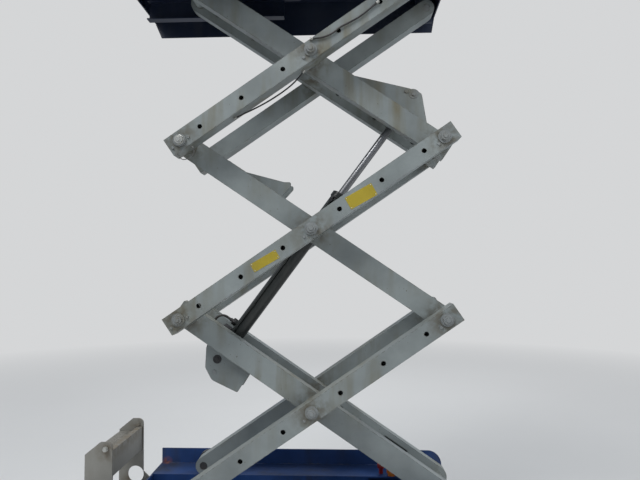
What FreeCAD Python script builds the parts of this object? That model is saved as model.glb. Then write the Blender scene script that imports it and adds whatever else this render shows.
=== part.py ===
# Small self-propelled electric scissor lift with three levels of arms, raised part way.
# Millimetres. +X is the front (the end of the fixed arm pins and the steered wheels), +Y the left
# side, +Z up. The origin is on the ground under the middle of the whole machine.
import FreeCAD
import Part
import math
import os
import re

V = FreeCAD.Vector
doc = FreeCAD.newDocument("ScissorLift")

# Driving dimensions: a word, its value and what it measures.
SIZES = [
    ("arm_pitch", 1450, "between the end pins of one arm"),
    ("rest_angle", 34.2, "slope of the arms as parked, degrees"),
    ("front_pin_x", 787, "front column of arm pins"),
    ("base_pin_z", 500, "lowest arm pins above the ground"),
    ("arm_end", 62, "arm beyond its end pin"),
    ("inner_end", 55, "inner arm beyond its end pin"),
    ("outer_depth", 86, "outer arm, height of its tube"),
    ("outer_width", 85, "outer arm, width of its tube"),
    ("inner_depth", 106, "inner arm, height of its tube"),
    ("inner_width", 55, "inner arm, width of its tube"),
    ("arm_wall", 5, "wall of the arm tubes"),
    ("arm_gap", 56, "inner arm to outer arm"),
    ("pin_radius", 20, "arm pins"),
    ("pin_play", 0.05, "radial play of a pin in its bore"),
    ("bush_radius", 29, "tube that a pin turns in"),
    ("boss_radius", 35, "spacer boss between inner and outer arm"),
    ("side_gap", 4, "free width beside a boss, an arm or a roller"),
    ("hole_radius", 11, "open holes in the outer arms"),
    ("hole_first", 154, "first hole from the centre pin"),
    ("hole_step", 230, "one hole to the next"),
    ("head_radius", 30, "washer plate on a pin's end"),
    ("head_thick", 7, "washer plate, thickness"),
    ("nut_radius", 17, "nut on the washer plate"),
    ("nut_thick", 11, "nut, thickness"),
    ("roller_radius", 47.5, "slide rollers"),
    ("roller_width", 34, "slide rollers"),
    ("track_wall", 6, "sheet of the platform's roller tracks"),
    ("well_z", 400, "top of the bulkheads between the ledges"),
    ("track_play", 0.5, "roller to its track"),
    ("rail_room", 59, "roller to the side rail"),
    ("cable_radius", 4, "cable on the upper outer arm's face"),
    ("slack_radius", 3.5, "cable that hangs under the upper outer arm"),
    ("wire_radius", 2, "wire loop at the upper outer arm's end"),
    ("hose_radius", 6, "hose on the lift cylinder"),
    ("clip_wall", 3, "wall of a cable clip"),
    ("clip_length", 14, "cable clips"),
    ("slot_length", 135, "slot in the lowest inner arms"),
    ("slot_height", 12, "slot in the lowest inner arms"),
    ("slot_from", 404, "slot, from the centre pin to its near end"),
    ("side_hole", 7, "small holes in the lowest inner arms, radius"),
    ("ram_foot_x", 227, "lift cylinder's foot from the rear upper pin, along the arm"),
    ("ram_foot_z", 98, "lift cylinder's foot below the arm's middle"),
    ("ram_head_x", 235, "lift cylinder's eye from the front lower pin, along the arm"),
    ("ram_head_z", 149, "lift cylinder's eye above the arm's middle"),
    ("barrel_radius", 36.5, "lift cylinder barrel"),
    ("barrel_bore", 30, "bore radius of the barrel"),
    ("barrel_length", 999, "foot pivot to the barrel's end"),
    ("rod_radius", 18.5, "lift cylinder rod"),
    ("rod_length", 1050, "rod, eye to its inner end"),
    ("ram_pin_radius", 17.5, "pivot pins of the cylinder"),
    ("ram_eye_radius", 35, "eyes of the cylinder"),
    ("ram_eye_width", 116, "eyes of the cylinder, width"),
    ("eye_side", 9, "free width between the cylinder's eyes and their plates"),
    ("open_gap", 0.6, "gap beside the rod's eye, which is the open pivot"),
    ("ram_boss_radius", 27, "spacer bosses beside the cylinder's eyes"),
    ("lug_thick", 12, "plates that hold the cylinder"),
    ("sheet", 8, "chassis plate"),
    ("rail_rise", 30, "side rail above the lowest pins"),
    ("front_reach", 79, "front end of the chassis ahead of the front pins"),
    ("rear_reach", 31, "rear end of the chassis behind the rear pins of a flat arm"),
    ("tyre_room", 10, "tyres to the plates over them"),
    ("ledge_width", 180, "roller ledges, from the outside of the machine"),
    ("ledge_stop", 60, "front end of the ledges behind the front pins"),
    ("web_y", 120, "outer face of the front webs"),
    ("pan_z", 90, "underside of the chassis pan"),
    ("front_bay_gap", 60, "front tyres to the side bays"),
    ("rear_bay_gap", 20, "rear tyres to the side bays"),
    ("corner_radius", 75, "rounded top corner of the side rails"),
    ("front_axle_back", 111, "front axle behind the front pins"),
    ("rear_axle_in", 70, "rear axle ahead of the chassis's rear end"),
    ("tyre_inset", 2, "outer face of the tyres inside the machine's side"),
    ("kingpin_inset", 138, "steering pivots inside the tyres' outer face"),
    ("wheel_radius", 160, "tyres"),
    ("tyre_width", 114, "tyres"),
    ("rim_radius", 115, "seat of the tyre on the rim"),
    ("rim_wall", 8, "wall of the rim"),
    ("hub_radius", 45, "hub of the rim"),
    ("spindle_radius", 25, "wheel spindles"),
    ("axle_low", 120, "underside of the front axle beam"),
    ("axle_high", 200, "top of the front axle beam"),
    ("axle_half", 45, "half the length of the axle beams, fore and aft"),
    ("kingpin_radius", 15, "steering pivots"),
    ("steer_plate", 14, "steering arms, thickness"),
    ("fork_half", 30, "half the length of the axle's forks"),
    ("steer_arm", 60, "steering arm behind the kingpin"),
    ("fork_plate", 16, "fork plates, thickness"),
    ("slip_gap", 0.3, "faces that slide on each other"),
    ("tray_pin_radius", 3, "hinge pins of the side trays"),
    ("tray_pin_in", 4, "hinge pins inside the trays' outer face"),
    ("tray_pin_ahead", 16, "hinge pins ahead of the rear bulkhead's back"),
    ("pad_thick", 10, "pads under the side trays"),
    ("step_inset", 5, "middle of the step's side plates inside the ledges' edge"),
    ("step_out", 42, "step frame's ears behind the chassis"),
    ("step_deep", 130, "step frame behind its ears"),
    ("step_plate", 10, "side plates of the step frame"),
    ("step_pin_z", 717, "pins in the ears"),
    ("tread_z", 680, "top tread"),
    ("tread_drop", 272, "one tread to the next"),
    ("tread_thick", 5, "treads and the plate between the ears"),
    ("tread_deep", 84, "treads, fore and aft"),
    ("tread_fold", 27, "folded lip under a tread"),
    ("step_pin_in", 100, "pins in the ears ahead of the step's rear edge"),
    ("step_hole", 43, "round openings in the step's side plates, radius"),
    ("step_hole_drop", 262, "round openings below the pins in the ears"),
    ("step_foot", 100, "lower edge of the step frame"),
    ("skirt_drop", 66, "side skirts below the top pins"),
    ("front_over", 69, "front end of the platform ahead of the front pins"),
    ("rear_over", 86, "rear end of the platform behind the rear pins of a flat arm"),
    ("platform_inset", 20, "platform's side inside the machine's side"),
    ("beam_deep", 40, "beams under the floor, depth"),
    ("beam_wide", 50, "beams under the floor, width"),
    ("beam_in", 20, "end beams inside the platform's ends"),
    ("beam_step", 360, "one beam under the floor to the next"),
    ("track_in", 26, "roller tracks ahead of the platform's rear end"),
    ("track_short", 167, "lower edge of the tracks ends behind the middle pins"),
    ("track_long", 80, "upper edge of the tracks ends behind the middle pins"),
    ("top_lug_half", 45, "lugs for the top pins, half their width"),
    ("top_lug_drop", 40, "lugs for the top pins, below the pins"),
    ("end_rise", 15, "lower edge of the end skirts above the top pins"),
    ("skirt_lean", 34, "chamfer at the skirts' lower rear corners"),
    ("skirt_nose", 14, "chamfer at the skirts' lower front corners"),
    ("skirt_bend", 12, "upper end of the skirts' chamfers above the top pins"),
    ("skirt_wall", 6, "skirt sheet"),
    ("floor_rise", 165, "underside of the floor above the top pins"),
    ("floor_thick", 25, "floor panel"),
    ("toe_height", 150, "toe boards above the floor"),
    ("rail_height", 1100, "guardrail above the floor"),
    ("rail_radius", 19, "guardrail tube"),
    ("post_inset", 30, "guardrail posts inside the platform's ends"),
    ("gate_lift", 120, "lowest gate tube above the floor"),
    ("gate_slack", 8, "gate's tubes and hinge line inside the posts"),
    ("gate_half", 270, "half the width of the entry"),
    ("gate_hinge", 27, "gate hinge ahead of its posts"),
    ("hinge_thick", 12, "hinge plates"),
    ("gate_pin_radius", 5, "hinge pins of the gate"),
]

# Sizes that follow from the ones above: a word, its formula and what it measures. The machine is
# as wide as what stands side by side in it, from the cylinder's eye out to the side rails.
DERIVED = [
    ("inner_face_y", "ram_eye_width / 2 + eye_side + lug_thick + inner_width",
     "outer face of the inner arms"),
    ("outer_face_y", "inner_face_y + arm_gap + outer_width", "outer face of the outer arms"),
    ("half_width", "outer_face_y + side_gap + roller_width + rail_room + sheet",
     "half the width of the machine"),
    ("ledge_inner_y", "half_width - ledge_width", "inner edge of the roller ledges"),
    ("tyre_out", "half_width - tyre_inset", "outer face of the tyres"),
    ("kingpin_y", "tyre_out - kingpin_inset", "steering pivots"),
    ("platform_half", "half_width - platform_inset", "half the width of the platform"),
    ("step_y", "ledge_inner_y - step_inset", "middle of the step frame's side plates"),
    ("chassis_front", "front_pin_x + front_reach", "front end of the chassis"),
    ("chassis_rear", "arm_pitch - front_pin_x + rear_reach",
     "rear end of the chassis, behind the origin"),
    ("platform_front", "front_pin_x + front_over", "front end of the platform"),
    ("platform_rear", "arm_pitch - front_pin_x + rear_over",
     "rear end of the platform, behind the origin"),
    ("axle_front", "front_pin_x - front_axle_back", "front axle"),
    ("axle_rear", "chassis_rear - rear_axle_in", "rear axle, behind the origin"),
    ("bay_front", "axle_front - wheel_radius - front_bay_gap", "front bulkhead of the side bays"),
    ("bay_rear", "axle_rear - wheel_radius - rear_bay_gap",
     "rear bulkhead of the side bays, behind the origin"),
    ("arch_z", "2 * wheel_radius + tyre_room", "underside of the plates over the wheels"),
    ("step_front", "chassis_rear + step_out", "front edge of the step's ears, behind the origin"),
    ("step_rear", "step_front + step_deep", "rear edge of the step frame, behind the origin"),
]

table = doc.addObject("Spreadsheet::Sheet", "Sizes")
for row, (word, value, note) in enumerate(SIZES + DERIVED, start=1):
    table.set("A%d" % row, word)
    table.set("B%d" % row, "=" + value if isinstance(value, str) else str(value))
    table.set("C%d" % row, note)
    table.setAlias("B%d" % row, word)
doc.recompute()
size = {word: float(table.get(word)) for word, _, _ in SIZES + DERIVED}

# Places that several pieces share, as formulas in the words above.
SPAN = "arm_pitch * cos(rest_angle)"
RISE = "arm_pitch * sin(rest_angle)"
REAR_PIN = f"(front_pin_x - {SPAN})"
MIDDLE = f"(front_pin_x - {SPAN} / 2)"
TOP_PIN = f"(base_pin_z + 3 * {RISE})"
OUTER_IN = "(outer_face_y - outer_width)"
INNER_IN = "(inner_face_y - inner_width)"
LEDGE = "(base_pin_z - roller_radius - track_play)"
PIN_OUT = "(outer_face_y + 1)"
BORE = "(pin_radius + pin_play)"
FLOOR_TOP = f"({TOP_PIN} + floor_rise + floor_thick)"

AXES = {
    "X": FreeCAD.Rotation(V(0, 1, 0), 90),
    "Y": FreeCAD.Rotation(V(1, 0, 0), -90),
    "Z": FreeCAD.Rotation(),
}
made = {}
count = {}


def bound(formula):
    """A formula in the sheet's words, written the way an expression needs it."""
    return re.sub(r"[a-z_]+", lambda found: "Sizes." + found.group() if found.group() in size
                  else found.group(), str(formula))


def bind(thing, prop, formula):
    thing.setExpression(prop, bound(formula))


def fresh(kind, word):
    count[word] = count.get(word, 0) + 1
    return doc.addObject(kind, "%s_%d" % (word, count[word]))


def place(thing, at, turn=None):
    """Puts a piece at three formulas; turn is its slope about the cross axis, another formula."""
    for axis, formula in zip("xyz", at):
        bind(thing, "Placement.Base." + axis, formula)
    if turn is not None:
        thing.Placement.Rotation = FreeCAD.Rotation(V(0, 1, 0), 10)
        bind(thing, "Placement.Rotation.Angle", turn)
    return thing


def box(word, low, high):
    """A block between two corners, each given as three formulas."""
    block = fresh("Part::Box", word)
    for prop, a, b in zip(("Length", "Width", "Height"), low, high):
        bind(block, prop, f"({b}) - ({a})")
    return place(block, low)


def rod(word, radius, start, length, axis="Y"):
    """A round bar from a start point along X, Y or Z."""
    bar = fresh("Part::Cylinder", word)
    bar.Placement.Rotation = AXES[axis]
    bind(bar, "Radius", radius)
    bind(bar, "Height", length)
    return place(bar, start)


def both(maker):
    """The same piece on the right (-Y) and left (+Y) side; maker takes the side's sign."""
    return [maker(-1), maker(1)]


def span_y(side, near, far):
    """Low and high Y of something between two distances from the middle, on one side."""
    return (f"-({far})", f"-({near})") if side < 0 else (near, far)


def side_box(word, side, x, y, z):
    """A block on one side: ranges of X and Z, and of the distance from the middle."""
    low, high = span_y(side, *y)
    return box(word, (x[0], low, z[0]), (x[1], high, z[1]))


def side_rod(word, side, radius, x, y, z):
    """A round bar across the machine on one side, between two distances from the middle."""
    low, high = span_y(side, *y)
    return rod(word, radius, (x, low, z), f"({high}) - ({low})")


def fuse(word, pieces):
    joined = fresh("Part::MultiFuse", word)
    joined.Shapes = pieces
    joined.Refine = True
    return joined


def cut(word, base, tools):
    tool = tools[0] if len(tools) == 1 else fuse(word + "_cuts", tools)
    left = fresh("Part::Cut", word)
    left.Base = base
    left.Tool = tool
    left.Refine = True
    return left


def group(word, pieces):
    together = fresh("Part::Compound", word)
    together.Links = pieces
    return together


def node(label, thing):
    thing.Label = label
    made[label] = thing
    return thing


def plate(word, outline, y_low, y_high):
    """A plate in the XZ plane from corners (x, z, corner radius), between two Y values."""
    points = [V(x, 0, z) for x, z, _ in outline]
    edges = []
    ends = []
    total = len(points)
    for index, (_, _, radius) in enumerate(outline):
        here = points[index]
        back = (points[index - 1] - here).normalize()
        ahead = (points[(index + 1) % total] - here).normalize()
        if radius == 0:
            ends.append((here, here, None))
            continue
        half = back.getAngle(ahead) / 2
        reach = radius / math.tan(half)
        inward = (back + ahead).normalize()
        crown = here + inward * (radius / math.sin(half) - radius)
        ends.append((here + back * reach, here + ahead * reach, crown))
    for index, (start, end, crown) in enumerate(ends):
        if crown is not None:
            edges.append(Part.Arc(start, crown, end).toShape())
        following = ends[(index + 1) % total][0]
        if (following - end).Length > 0.001:
            edges.append(Part.LineSegment(end, following).toShape())
    face = Part.Face(Part.Wire(edges))
    sheet_piece = fresh("Part::Feature", word)
    solid = face.extrude(V(0, y_high - y_low, 0))
    solid.translate(V(0, y_low, 0))
    sheet_piece.Shape = solid
    return sheet_piece


s = size
rest = math.radians(s["rest_angle"])
COS = math.cos(rest)
SIN = math.sin(rest)


def level(steps):
    return f"(base_pin_z + {steps} * {RISE})"


# Arms. Each is made lying along X with its centre pin at the origin and is then sloped:
# the inner arms climb to the rear, the outer arms climb to the front.
def arm_tube(word, side, near, far, depth, end, front_round, rear_round):
    reach = f"(arm_pitch / 2 + {end})"
    ends = [f"-{reach}", reach]
    if front_round:
        ends[1] = "(arm_pitch / 2)"
    if rear_round:
        ends[0] = "-(arm_pitch / 2)"
    skin = side_box(word, side, ends, (near, far), (f"-{depth} / 2", f"{depth} / 2"))
    hollow = side_box(word + "_hollow", side, [f"{ends[0]} - 1", f"{ends[1]} + 1"],
                      (f"{near} + arm_wall", f"{far} - arm_wall"),
                      (f"-{depth} / 2 + arm_wall", f"{depth} / 2 - arm_wall"))
    pieces = [cut(word + "_tube", skin, [hollow])]
    for rounded, x in ((front_round, ends[1]), (rear_round, ends[0])):
        if rounded:
            pieces.append(side_rod(word + "_end", side, f"{depth} / 2", x, (near, far), 0))
    return pieces


def inner_wall_cuts(number):
    """Openings in the inner walls: a slot and two small holes in frame 1, a row of holes in frame 3."""
    cuts = []
    through = (f"{INNER_IN} - 1", f"{INNER_IN} + arm_wall + 1")
    for side in (-1, 1):
        if number == 1:
            cuts.append(side_box("slot", side, ("slot_from", "slot_from + slot_length"), through,
                                 ("20 - slot_height / 2", "20 + slot_height / 2")))
            cuts += [side_rod("small_hole", side, "side_hole", x, through, 16)
                     for x in ("hole_first - 6", "hole_first + 102")]
        if number == 3:
            cuts += [side_rod("small_hole", side, "hole_radius",
                              f"{way}(hole_first + {step} * hole_step)", through, -8)
                     for step in range(3) for way in ("", "-")]
    return cuts


def inner_frame(number, extra=(), front_round=False, rear_round=False):
    pieces = list(extra)
    bores = inner_wall_cuts(number)
    for side in (-1, 1):
        pieces += arm_tube("inner_arm", side, INNER_IN, "inner_face_y", "inner_depth", "inner_end",
                           front_round, rear_round)
    for x, boss in (("-arm_pitch / 2", not rear_round), ("0", True),
                    ("arm_pitch / 2", not front_round)):
        for side in (-1, 1):
            reach = f"({OUTER_IN} - side_gap)" if boss else "inner_face_y"
            if boss:
                pieces.append(side_rod("boss", side, "boss_radius", x,
                                       ("inner_face_y - 1", reach), 0))
            if x == "0":
                pieces.append(side_rod("bush", side, "bush_radius", x,
                                       (INNER_IN, "inner_face_y"), 0))
                bores.append(side_rod("bore", side, BORE, x,
                                      (f"{INNER_IN} - 1", f"{reach} + 1"), 0))
        if x != "0":
            pieces.append(rod("torque_tube", "bush_radius", (x, "-inner_face_y", 0),
                              "2 * inner_face_y"))
            bores.append(rod("bore", BORE, (x, "-outer_face_y", 0), "2 * outer_face_y"))
    frame = cut("inner_frame", fuse("inner_joined", pieces), bores)
    place(frame, (MIDDLE, 0, level(number - 0.5)), "rest_angle")
    return node("inner_frame_%d" % number, frame)


def outer_pair(number, front_round=False, rear_round=False):
    arms = []
    for side in (-1, 1):
        pieces = arm_tube("outer_arm", side, OUTER_IN, "outer_face_y", "outer_depth", "arm_end",
                          front_round, rear_round)
        cuts = []
        for x in ("-arm_pitch / 2", "0", "arm_pitch / 2"):
            pieces.append(side_rod("bush", side, "bush_radius", x, (OUTER_IN, "outer_face_y"), 0))
            cuts.append(side_rod("bore", side, BORE, x,
                                 (f"{OUTER_IN} - 1", "outer_face_y + 1"), 0))
        for step in range(3):
            for way in ("", "-"):
                cuts.append(side_rod("hole", side, "hole_radius",
                                     f"{way}(hole_first + {step} * hole_step)",
                                     ("outer_face_y - arm_wall - 1", "outer_face_y + 1"), 0))
        arms.append(cut("outer_arm", fuse("outer_joined", pieces), cuts))
    pair = group("outer_pair", arms)
    place(pair, (MIDDLE, 0, level(number - 0.5)), "-rest_angle")
    return node("outer_arms_%d" % number, pair)


# Plates that hold the lift cylinder: the foot hangs under inner arm 1, the head stands on
# inner arm 3. Their corners are local to the arm: x along it from its centre pin, z across it.
half_pitch = s["arm_pitch"] / 2
foot_x = s["ram_foot_x"] - half_pitch
foot_z = -s["ram_foot_z"]
head_x = half_pitch - s["ram_head_x"]
head_z = s["ram_head_z"]
arm_half = s["inner_depth"] / 2
sink = s["arm_wall"]
FOOT_OUTLINE = [
    (foot_x - 86, sink - arm_half, 0),
    (foot_x + 166, sink - arm_half, 0),
    (foot_x + 170, foot_z - 76, 8),
    (foot_x + 34, foot_z - 97, 40),
    (foot_x - 26, foot_z - 66, 30),
    (foot_x - 76, foot_z + 16, 14),
]
HEAD_OUTLINE = [
    (head_x - 350, arm_half - sink, 0),
    (head_x - 34, head_z + 14, 40),
    (head_x + 30, head_z + 27, 24),
    (head_x + 117, head_z - 66, 20),
    (head_x + 150, arm_half - sink, 0),
]


def ram_plates(word, outline, x, z):
    pieces = []
    inner = s["inner_face_y"] - s["inner_width"]
    for side in (-1, 1):
        low, high = sorted((side * (inner - s["lug_thick"]), side * (inner + 1)))
        cheek = plate(word, outline, low, high)
        near, far = sorted((side * (s["ram_eye_width"] / 2 + 1), side * inner))
        boss = Part.makeCylinder(s["ram_boss_radius"], far - near, V(x, near, z), V(0, 1, 0))
        cheek.Shape = cheek.Shape.fuse(boss)
        pieces.append(cheek)
    hole = Part.makeCylinder(s["ram_pin_radius"] + s["pin_play"], 2 * inner, V(x, -inner, z),
                             V(0, 1, 0))
    drilled = []
    for piece in pieces:
        piece.Shape = piece.Shape.cut(hole)
        drilled.append(piece)
    return drilled


# Wedge plates on top of inner arm 2.
WEDGE_OUTLINE = [
    (-577, arm_half - 44, 0),
    (-254, arm_half + 66, 40),
    (-226, arm_half + 84, 8),
    (-216, arm_half + 68, 8),
    (-232, arm_half - 44, 0),
]


def wedge_plates():
    pieces = []
    inner = s["inner_face_y"] - s["inner_width"]
    for side in (-1, 1):
        off = inner - s["side_gap"] - 1
        low, high = sorted((side * (off - s["lug_thick"]), side * off))
        pieces.append(plate("wedge", WEDGE_OUTLINE, low, high))
        pieces.append(side_box("wedge_weld", side, (-570, -236), (f"{off} - 1", f"{INNER_IN} + 1"),
                               ("inner_depth / 2 - 40", "inner_depth / 2 - 8")))
    return pieces


inner_frame(1, ram_plates("ram_foot", FOOT_OUTLINE, foot_x, foot_z), front_round=True)
inner_frame(2, wedge_plates())
inner_frame(3, ram_plates("ram_head", HEAD_OUTLINE, head_x, head_z), rear_round=True)
outer_pair(1, rear_round=True)
outer_pair(2)
outer_pair(3, front_round=True)


# Cables on the near upper outer arm and the hose on the cylinder. Each route is a list of points
# (x along the arm or cylinder, z across it) at one distance from the middle of the machine.
FACE_Y = -s["outer_face_y"]
ARM_CABLE = [(36, 34), (74, 13), (119, 2), (165, 7), (213, 0), (262, -6), (314, -3), (364, 2)]
SLACK_CABLE = [(-452, -49), (-416, -54), (-370, -62), (-318, -69), (-264, -73), (-210, -74),
               (-160, -71), (-118, -63), (-84, -52)]
END_WIRE = [(-774, -52), (-773, -63), (-763, -73), (-748, -78), (-731, -79), (-714, -76),
            (-703, -67), (-701, -56), (-700, -50)]
VALVE_HOSE = [(96, 81.4), (96, 102.7), (106.7, 121.3), (125.3, 132), (146.7, 132), (165.3, 121.3),
              (176, 102.7), (177.3, 82), (178, 66), (178, 54)]


def cord(word, points, y, radius):
    """A round cord along straight runs that tangent arcs join, each arc as wide as 0.45 of its
    shorter run allows. Prints its narrowest arc and how far its volume is from that of a bar."""
    knots = [V(x, y, z) for x, z in points]
    edges = []
    widths = []
    here = knots[0]
    for before, corner, after in zip(knots, knots[1:], knots[2:]):
        back = before - corner
        ahead = after - corner
        reach = 0.45 * min(back.Length, ahead.Length)
        back.normalize()
        ahead.normalize()
        half = back.getAngle(ahead) / 2
        bend = reach * math.tan(half)
        inward = (back + ahead).normalize()
        crown = corner + inward * (bend / math.sin(half) - bend)
        start, end = corner + back * reach, corner + ahead * reach
        edges.append(Part.LineSegment(here, start).toShape())
        edges.append(Part.Arc(start, crown, end).toShape())
        widths.append(bend)
        here = end
    edges.append(Part.LineSegment(here, knots[-1]).toShape())
    path = Part.Wire(edges)
    ring = Part.Wire(Part.makeCircle(radius, knots[0], knots[1] - knots[0]))
    tube = path.makePipeShell([ring], True, False)
    print(word, "narrowest arc", round(min(widths), 1), "length", round(path.Length, 1), "volume ratio",
          round(tube.Volume / (math.pi * radius ** 2 * path.Length), 4))
    piece = fresh("Part::Feature", word)
    piece.Shape = tube
    return piece


def cable_clip(points, y, radius, end, foot_z=None):
    """A clip at one end of a cord: a sleeve in line with its first run, on a foot on the arm."""
    first, second = (points[0], points[1]) if end == 0 else (points[-1], points[-2])
    tip = V(first[0], y, first[1])
    out = (tip - V(second[0], y, second[1])).normalize()
    sleeve = Part.makeCylinder(radius + s["clip_wall"], s["clip_length"], tip, out)
    piece = fresh("Part::Feature", "clip")
    middle = tip + out * (s["clip_length"] / 2)
    if foot_z is None:
        foot = Part.makeBox(8, abs(FACE_Y - y), 8, V(middle.x - 4, y, middle.z - 4))
    else:
        foot = Part.makeBox(8, 8, foot_z - middle.z, V(middle.x - 4, y - 4, middle.z))
        arm = Part.makeBox(100, 40, 60, V(middle.x - 50, y - 20, foot_z))
        sleeve = sleeve.cut(arm)
    piece.Shape = sleeve.fuse(foot)
    return piece


def arm_cords():
    lying = FACE_Y - s["cable_radius"] - s["clip_wall"]
    middle = FACE_Y + s["outer_width"] / 2
    under = -s["outer_depth"] / 2
    table = (("arm_cable", ARM_CABLE, lying, "cable_radius"),
             ("slack_cable", SLACK_CABLE, middle, "slack_radius"),
             ("end_wire", END_WIRE, middle, "wire_radius"))
    clips = []
    for word, points, y, radius in table:
        node(word, place(cord(word, points, y, s[radius]), (MIDDLE, 0, level(2.5)), "-rest_angle"))
        clips += [cable_clip(points, y, s[radius], end, None if y == lying else under)
                  for end in (0, 1)]
    node("cable_clips", place(group("cable_clips", clips), (MIDDLE, 0, level(2.5)), "-rest_angle"))


arm_cords()


# Pins. A long pin passes through all four arms, a short one through one inner and one outer arm,
# so that the cylinder can pass between the inner arms. Each end has a washer plate and a nut.
def pin_head(side, x, z, out):
    return [
        side_rod("washer", side, "head_radius", x, (out, f"{out} + head_thick"), z),
        side_rod("nut", side, "nut_radius", x,
                 (f"{out} + head_thick - 1", f"{out} + head_thick + nut_thick"), z),
    ]


def long_pin(x, z):
    shank = rod("shank", "pin_radius", (x, f"-({PIN_OUT}) - 1", z), f"2 * ({PIN_OUT} + 1)")
    heads = pin_head(-1, x, z, PIN_OUT) + pin_head(1, x, z, PIN_OUT)
    return fuse("long_pin", [shank] + heads)


def short_pin(side, x, z):
    shank = side_rod("shank", side, "pin_radius", x, (f"{INNER_IN} + 2", f"{PIN_OUT} + 1"), z)
    return fuse("short_pin", [shank] + pin_head(side, x, z, PIN_OUT))


def ram_pin(x, z):
    reach = f"({INNER_IN} - 1)"
    return [rod("ram_pin", "ram_pin_radius", (x, f"-{reach}", z), f"2 * {reach}")]


def open_pin(x, z):
    """The head's pin as its two ends: its middle sits in the rod's eye, the open pivot."""
    return both(lambda side: side_rod("ram_pin", side, "ram_pin_radius", x,
                                      ("ram_eye_width / 2 + open_gap", f"{INNER_IN} - 1"), z))


foot_at = (s["front_pin_x"] - s["arm_pitch"] * COS / 2 + foot_x * COS + foot_z * SIN,
           s["base_pin_z"] + s["arm_pitch"] * SIN / 2 - foot_x * SIN + foot_z * COS)
head_at = (s["front_pin_x"] - s["arm_pitch"] * COS / 2 + head_x * COS + head_z * SIN,
           s["base_pin_z"] + s["arm_pitch"] * SIN * 2.5 - head_x * SIN + head_z * COS)
FOOT_X = (f"({MIDDLE} + (ram_foot_x - arm_pitch / 2) * cos(rest_angle)"
          " - ram_foot_z * sin(rest_angle))")
FOOT_Z = (f"({level(0.5)} - (ram_foot_x - arm_pitch / 2) * sin(rest_angle)"
          " - ram_foot_z * cos(rest_angle))")
HEAD_X = (f"({MIDDLE} + (arm_pitch / 2 - ram_head_x) * cos(rest_angle)"
          " + ram_head_z * sin(rest_angle))")
HEAD_Z = (f"({level(2.5)} - (arm_pitch / 2 - ram_head_x) * sin(rest_angle)"
          " + ram_head_z * cos(rest_angle))")

for number, long_pins in ((1, [(REAR_PIN, 1)]), (2, [("front_pin_x", 1), (REAR_PIN, 2)]),
                          (3, [("front_pin_x", 2)])):
    pieces = [short_pin(-1, MIDDLE, level(number - 0.5)), short_pin(1, MIDDLE, level(number - 0.5))]
    pieces += [long_pin(x, level(steps)) for x, steps in long_pins]
    if number == 1:
        pieces += ram_pin(FOOT_X, FOOT_Z)
    if number == 3:
        pieces += open_pin(HEAD_X, HEAD_Z)
    node("arm_pins_%d" % number, group("arm_pins", pieces))

LUG_IN = "(inner_face_y + 8)"
TOP_LUG_IN = "(outer_face_y + 8)"
LUG_WIDE = 20
node("base_pins", group("base_pins", both(lambda side: fuse("base_pin", [
    side_rod("shank", side, "pin_radius", "front_pin_x",
             (f"{INNER_IN} + 2", f"{LUG_IN} + {LUG_WIDE} + 2"), "base_pin_z"),
    side_rod("washer", side, "head_radius", "front_pin_x",
             (f"{LUG_IN} + {LUG_WIDE} + 0.3", f"{LUG_IN} + {LUG_WIDE} + 6"), "base_pin_z"),
]))))
node("top_pins", group("top_pins", both(lambda side: fuse("top_pin", [
    side_rod("shank", side, "pin_radius", "front_pin_x",
             (f"{OUTER_IN} + 2", f"{TOP_LUG_IN} + {LUG_WIDE} + 2"), TOP_PIN),
    side_rod("washer", side, "head_radius", "front_pin_x",
             (f"{TOP_LUG_IN} + {LUG_WIDE} + 0.3", f"{TOP_LUG_IN} + {LUG_WIDE} + 6"), TOP_PIN),
]))))


def slide_roller(side, face, z, inner):
    near = f"({face} + side_gap)"
    return fuse("roller", [
        side_rod("wheel", side, "roller_radius", REAR_PIN, (near, f"{near} + roller_width"), z),
        side_rod("stub", side, "pin_radius", REAR_PIN,
                 (inner, f"{near} + roller_width + 1"), z),
    ])


node("base_rollers", group("base_rollers", both(
    lambda side: slide_roller(side, "outer_face_y", "base_pin_z", f"{OUTER_IN} + 2"))))
node("top_rollers", group("top_rollers", both(
    lambda side: slide_roller(side, "inner_face_y", TOP_PIN, f"{INNER_IN} + 2"))))

# Lift cylinder. It is made along X from its foot pivot and then sloped up to its eye.
slope = math.degrees(math.atan2(head_at[1] - foot_at[1], head_at[0] - foot_at[0]))
stroke_now = math.hypot(head_at[1] - foot_at[1], head_at[0] - foot_at[0])
GLAND = 26


def sloped(thing, at, angle):
    thing.Placement = FreeCAD.Placement(V(at[0], 0, at[1]), FreeCAD.Rotation(V(0, 1, 0), -angle))
    return thing


HOSE_Y = -6


def make_barrel():
    skin = rod("barrel_skin", "barrel_radius", (0, 0, 0), "barrel_length", "X")
    collar = rod("gland", "barrel_radius + 5", (f"barrel_length - {GLAND}", 0, 0), GLAND, "X")
    eye = rod("foot_eye", "ram_eye_radius", (0, "-ram_eye_width / 2", 0), "ram_eye_width")
    bore = rod("bore", "barrel_bore", ("ram_eye_radius + 12", 0, 0),
               f"barrel_length - {GLAND} - ram_eye_radius - 12", "X")
    mouth = rod("mouth", "rod_radius + pin_play", (f"barrel_length - {GLAND} - 1", 0, 0),
                GLAND + 2, "X")
    hole = rod("hole", "ram_pin_radius + pin_play", (0, "-ram_eye_width", 0),
               "2 * ram_eye_width")
    port = rod("hose_port", "hose_radius + 3", (VALVE_HOSE[-1][0], HOSE_Y, "barrel_radius - 3"),
               f"{VALVE_HOSE[-1][1]} - barrel_radius + 3", "Z")
    barrel = cut("barrel", fuse("barrel_joined", [skin, collar, eye, port]), [bore, mouth, hole])
    return node("cylinder_barrel", sloped(barrel, foot_at, slope))


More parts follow.
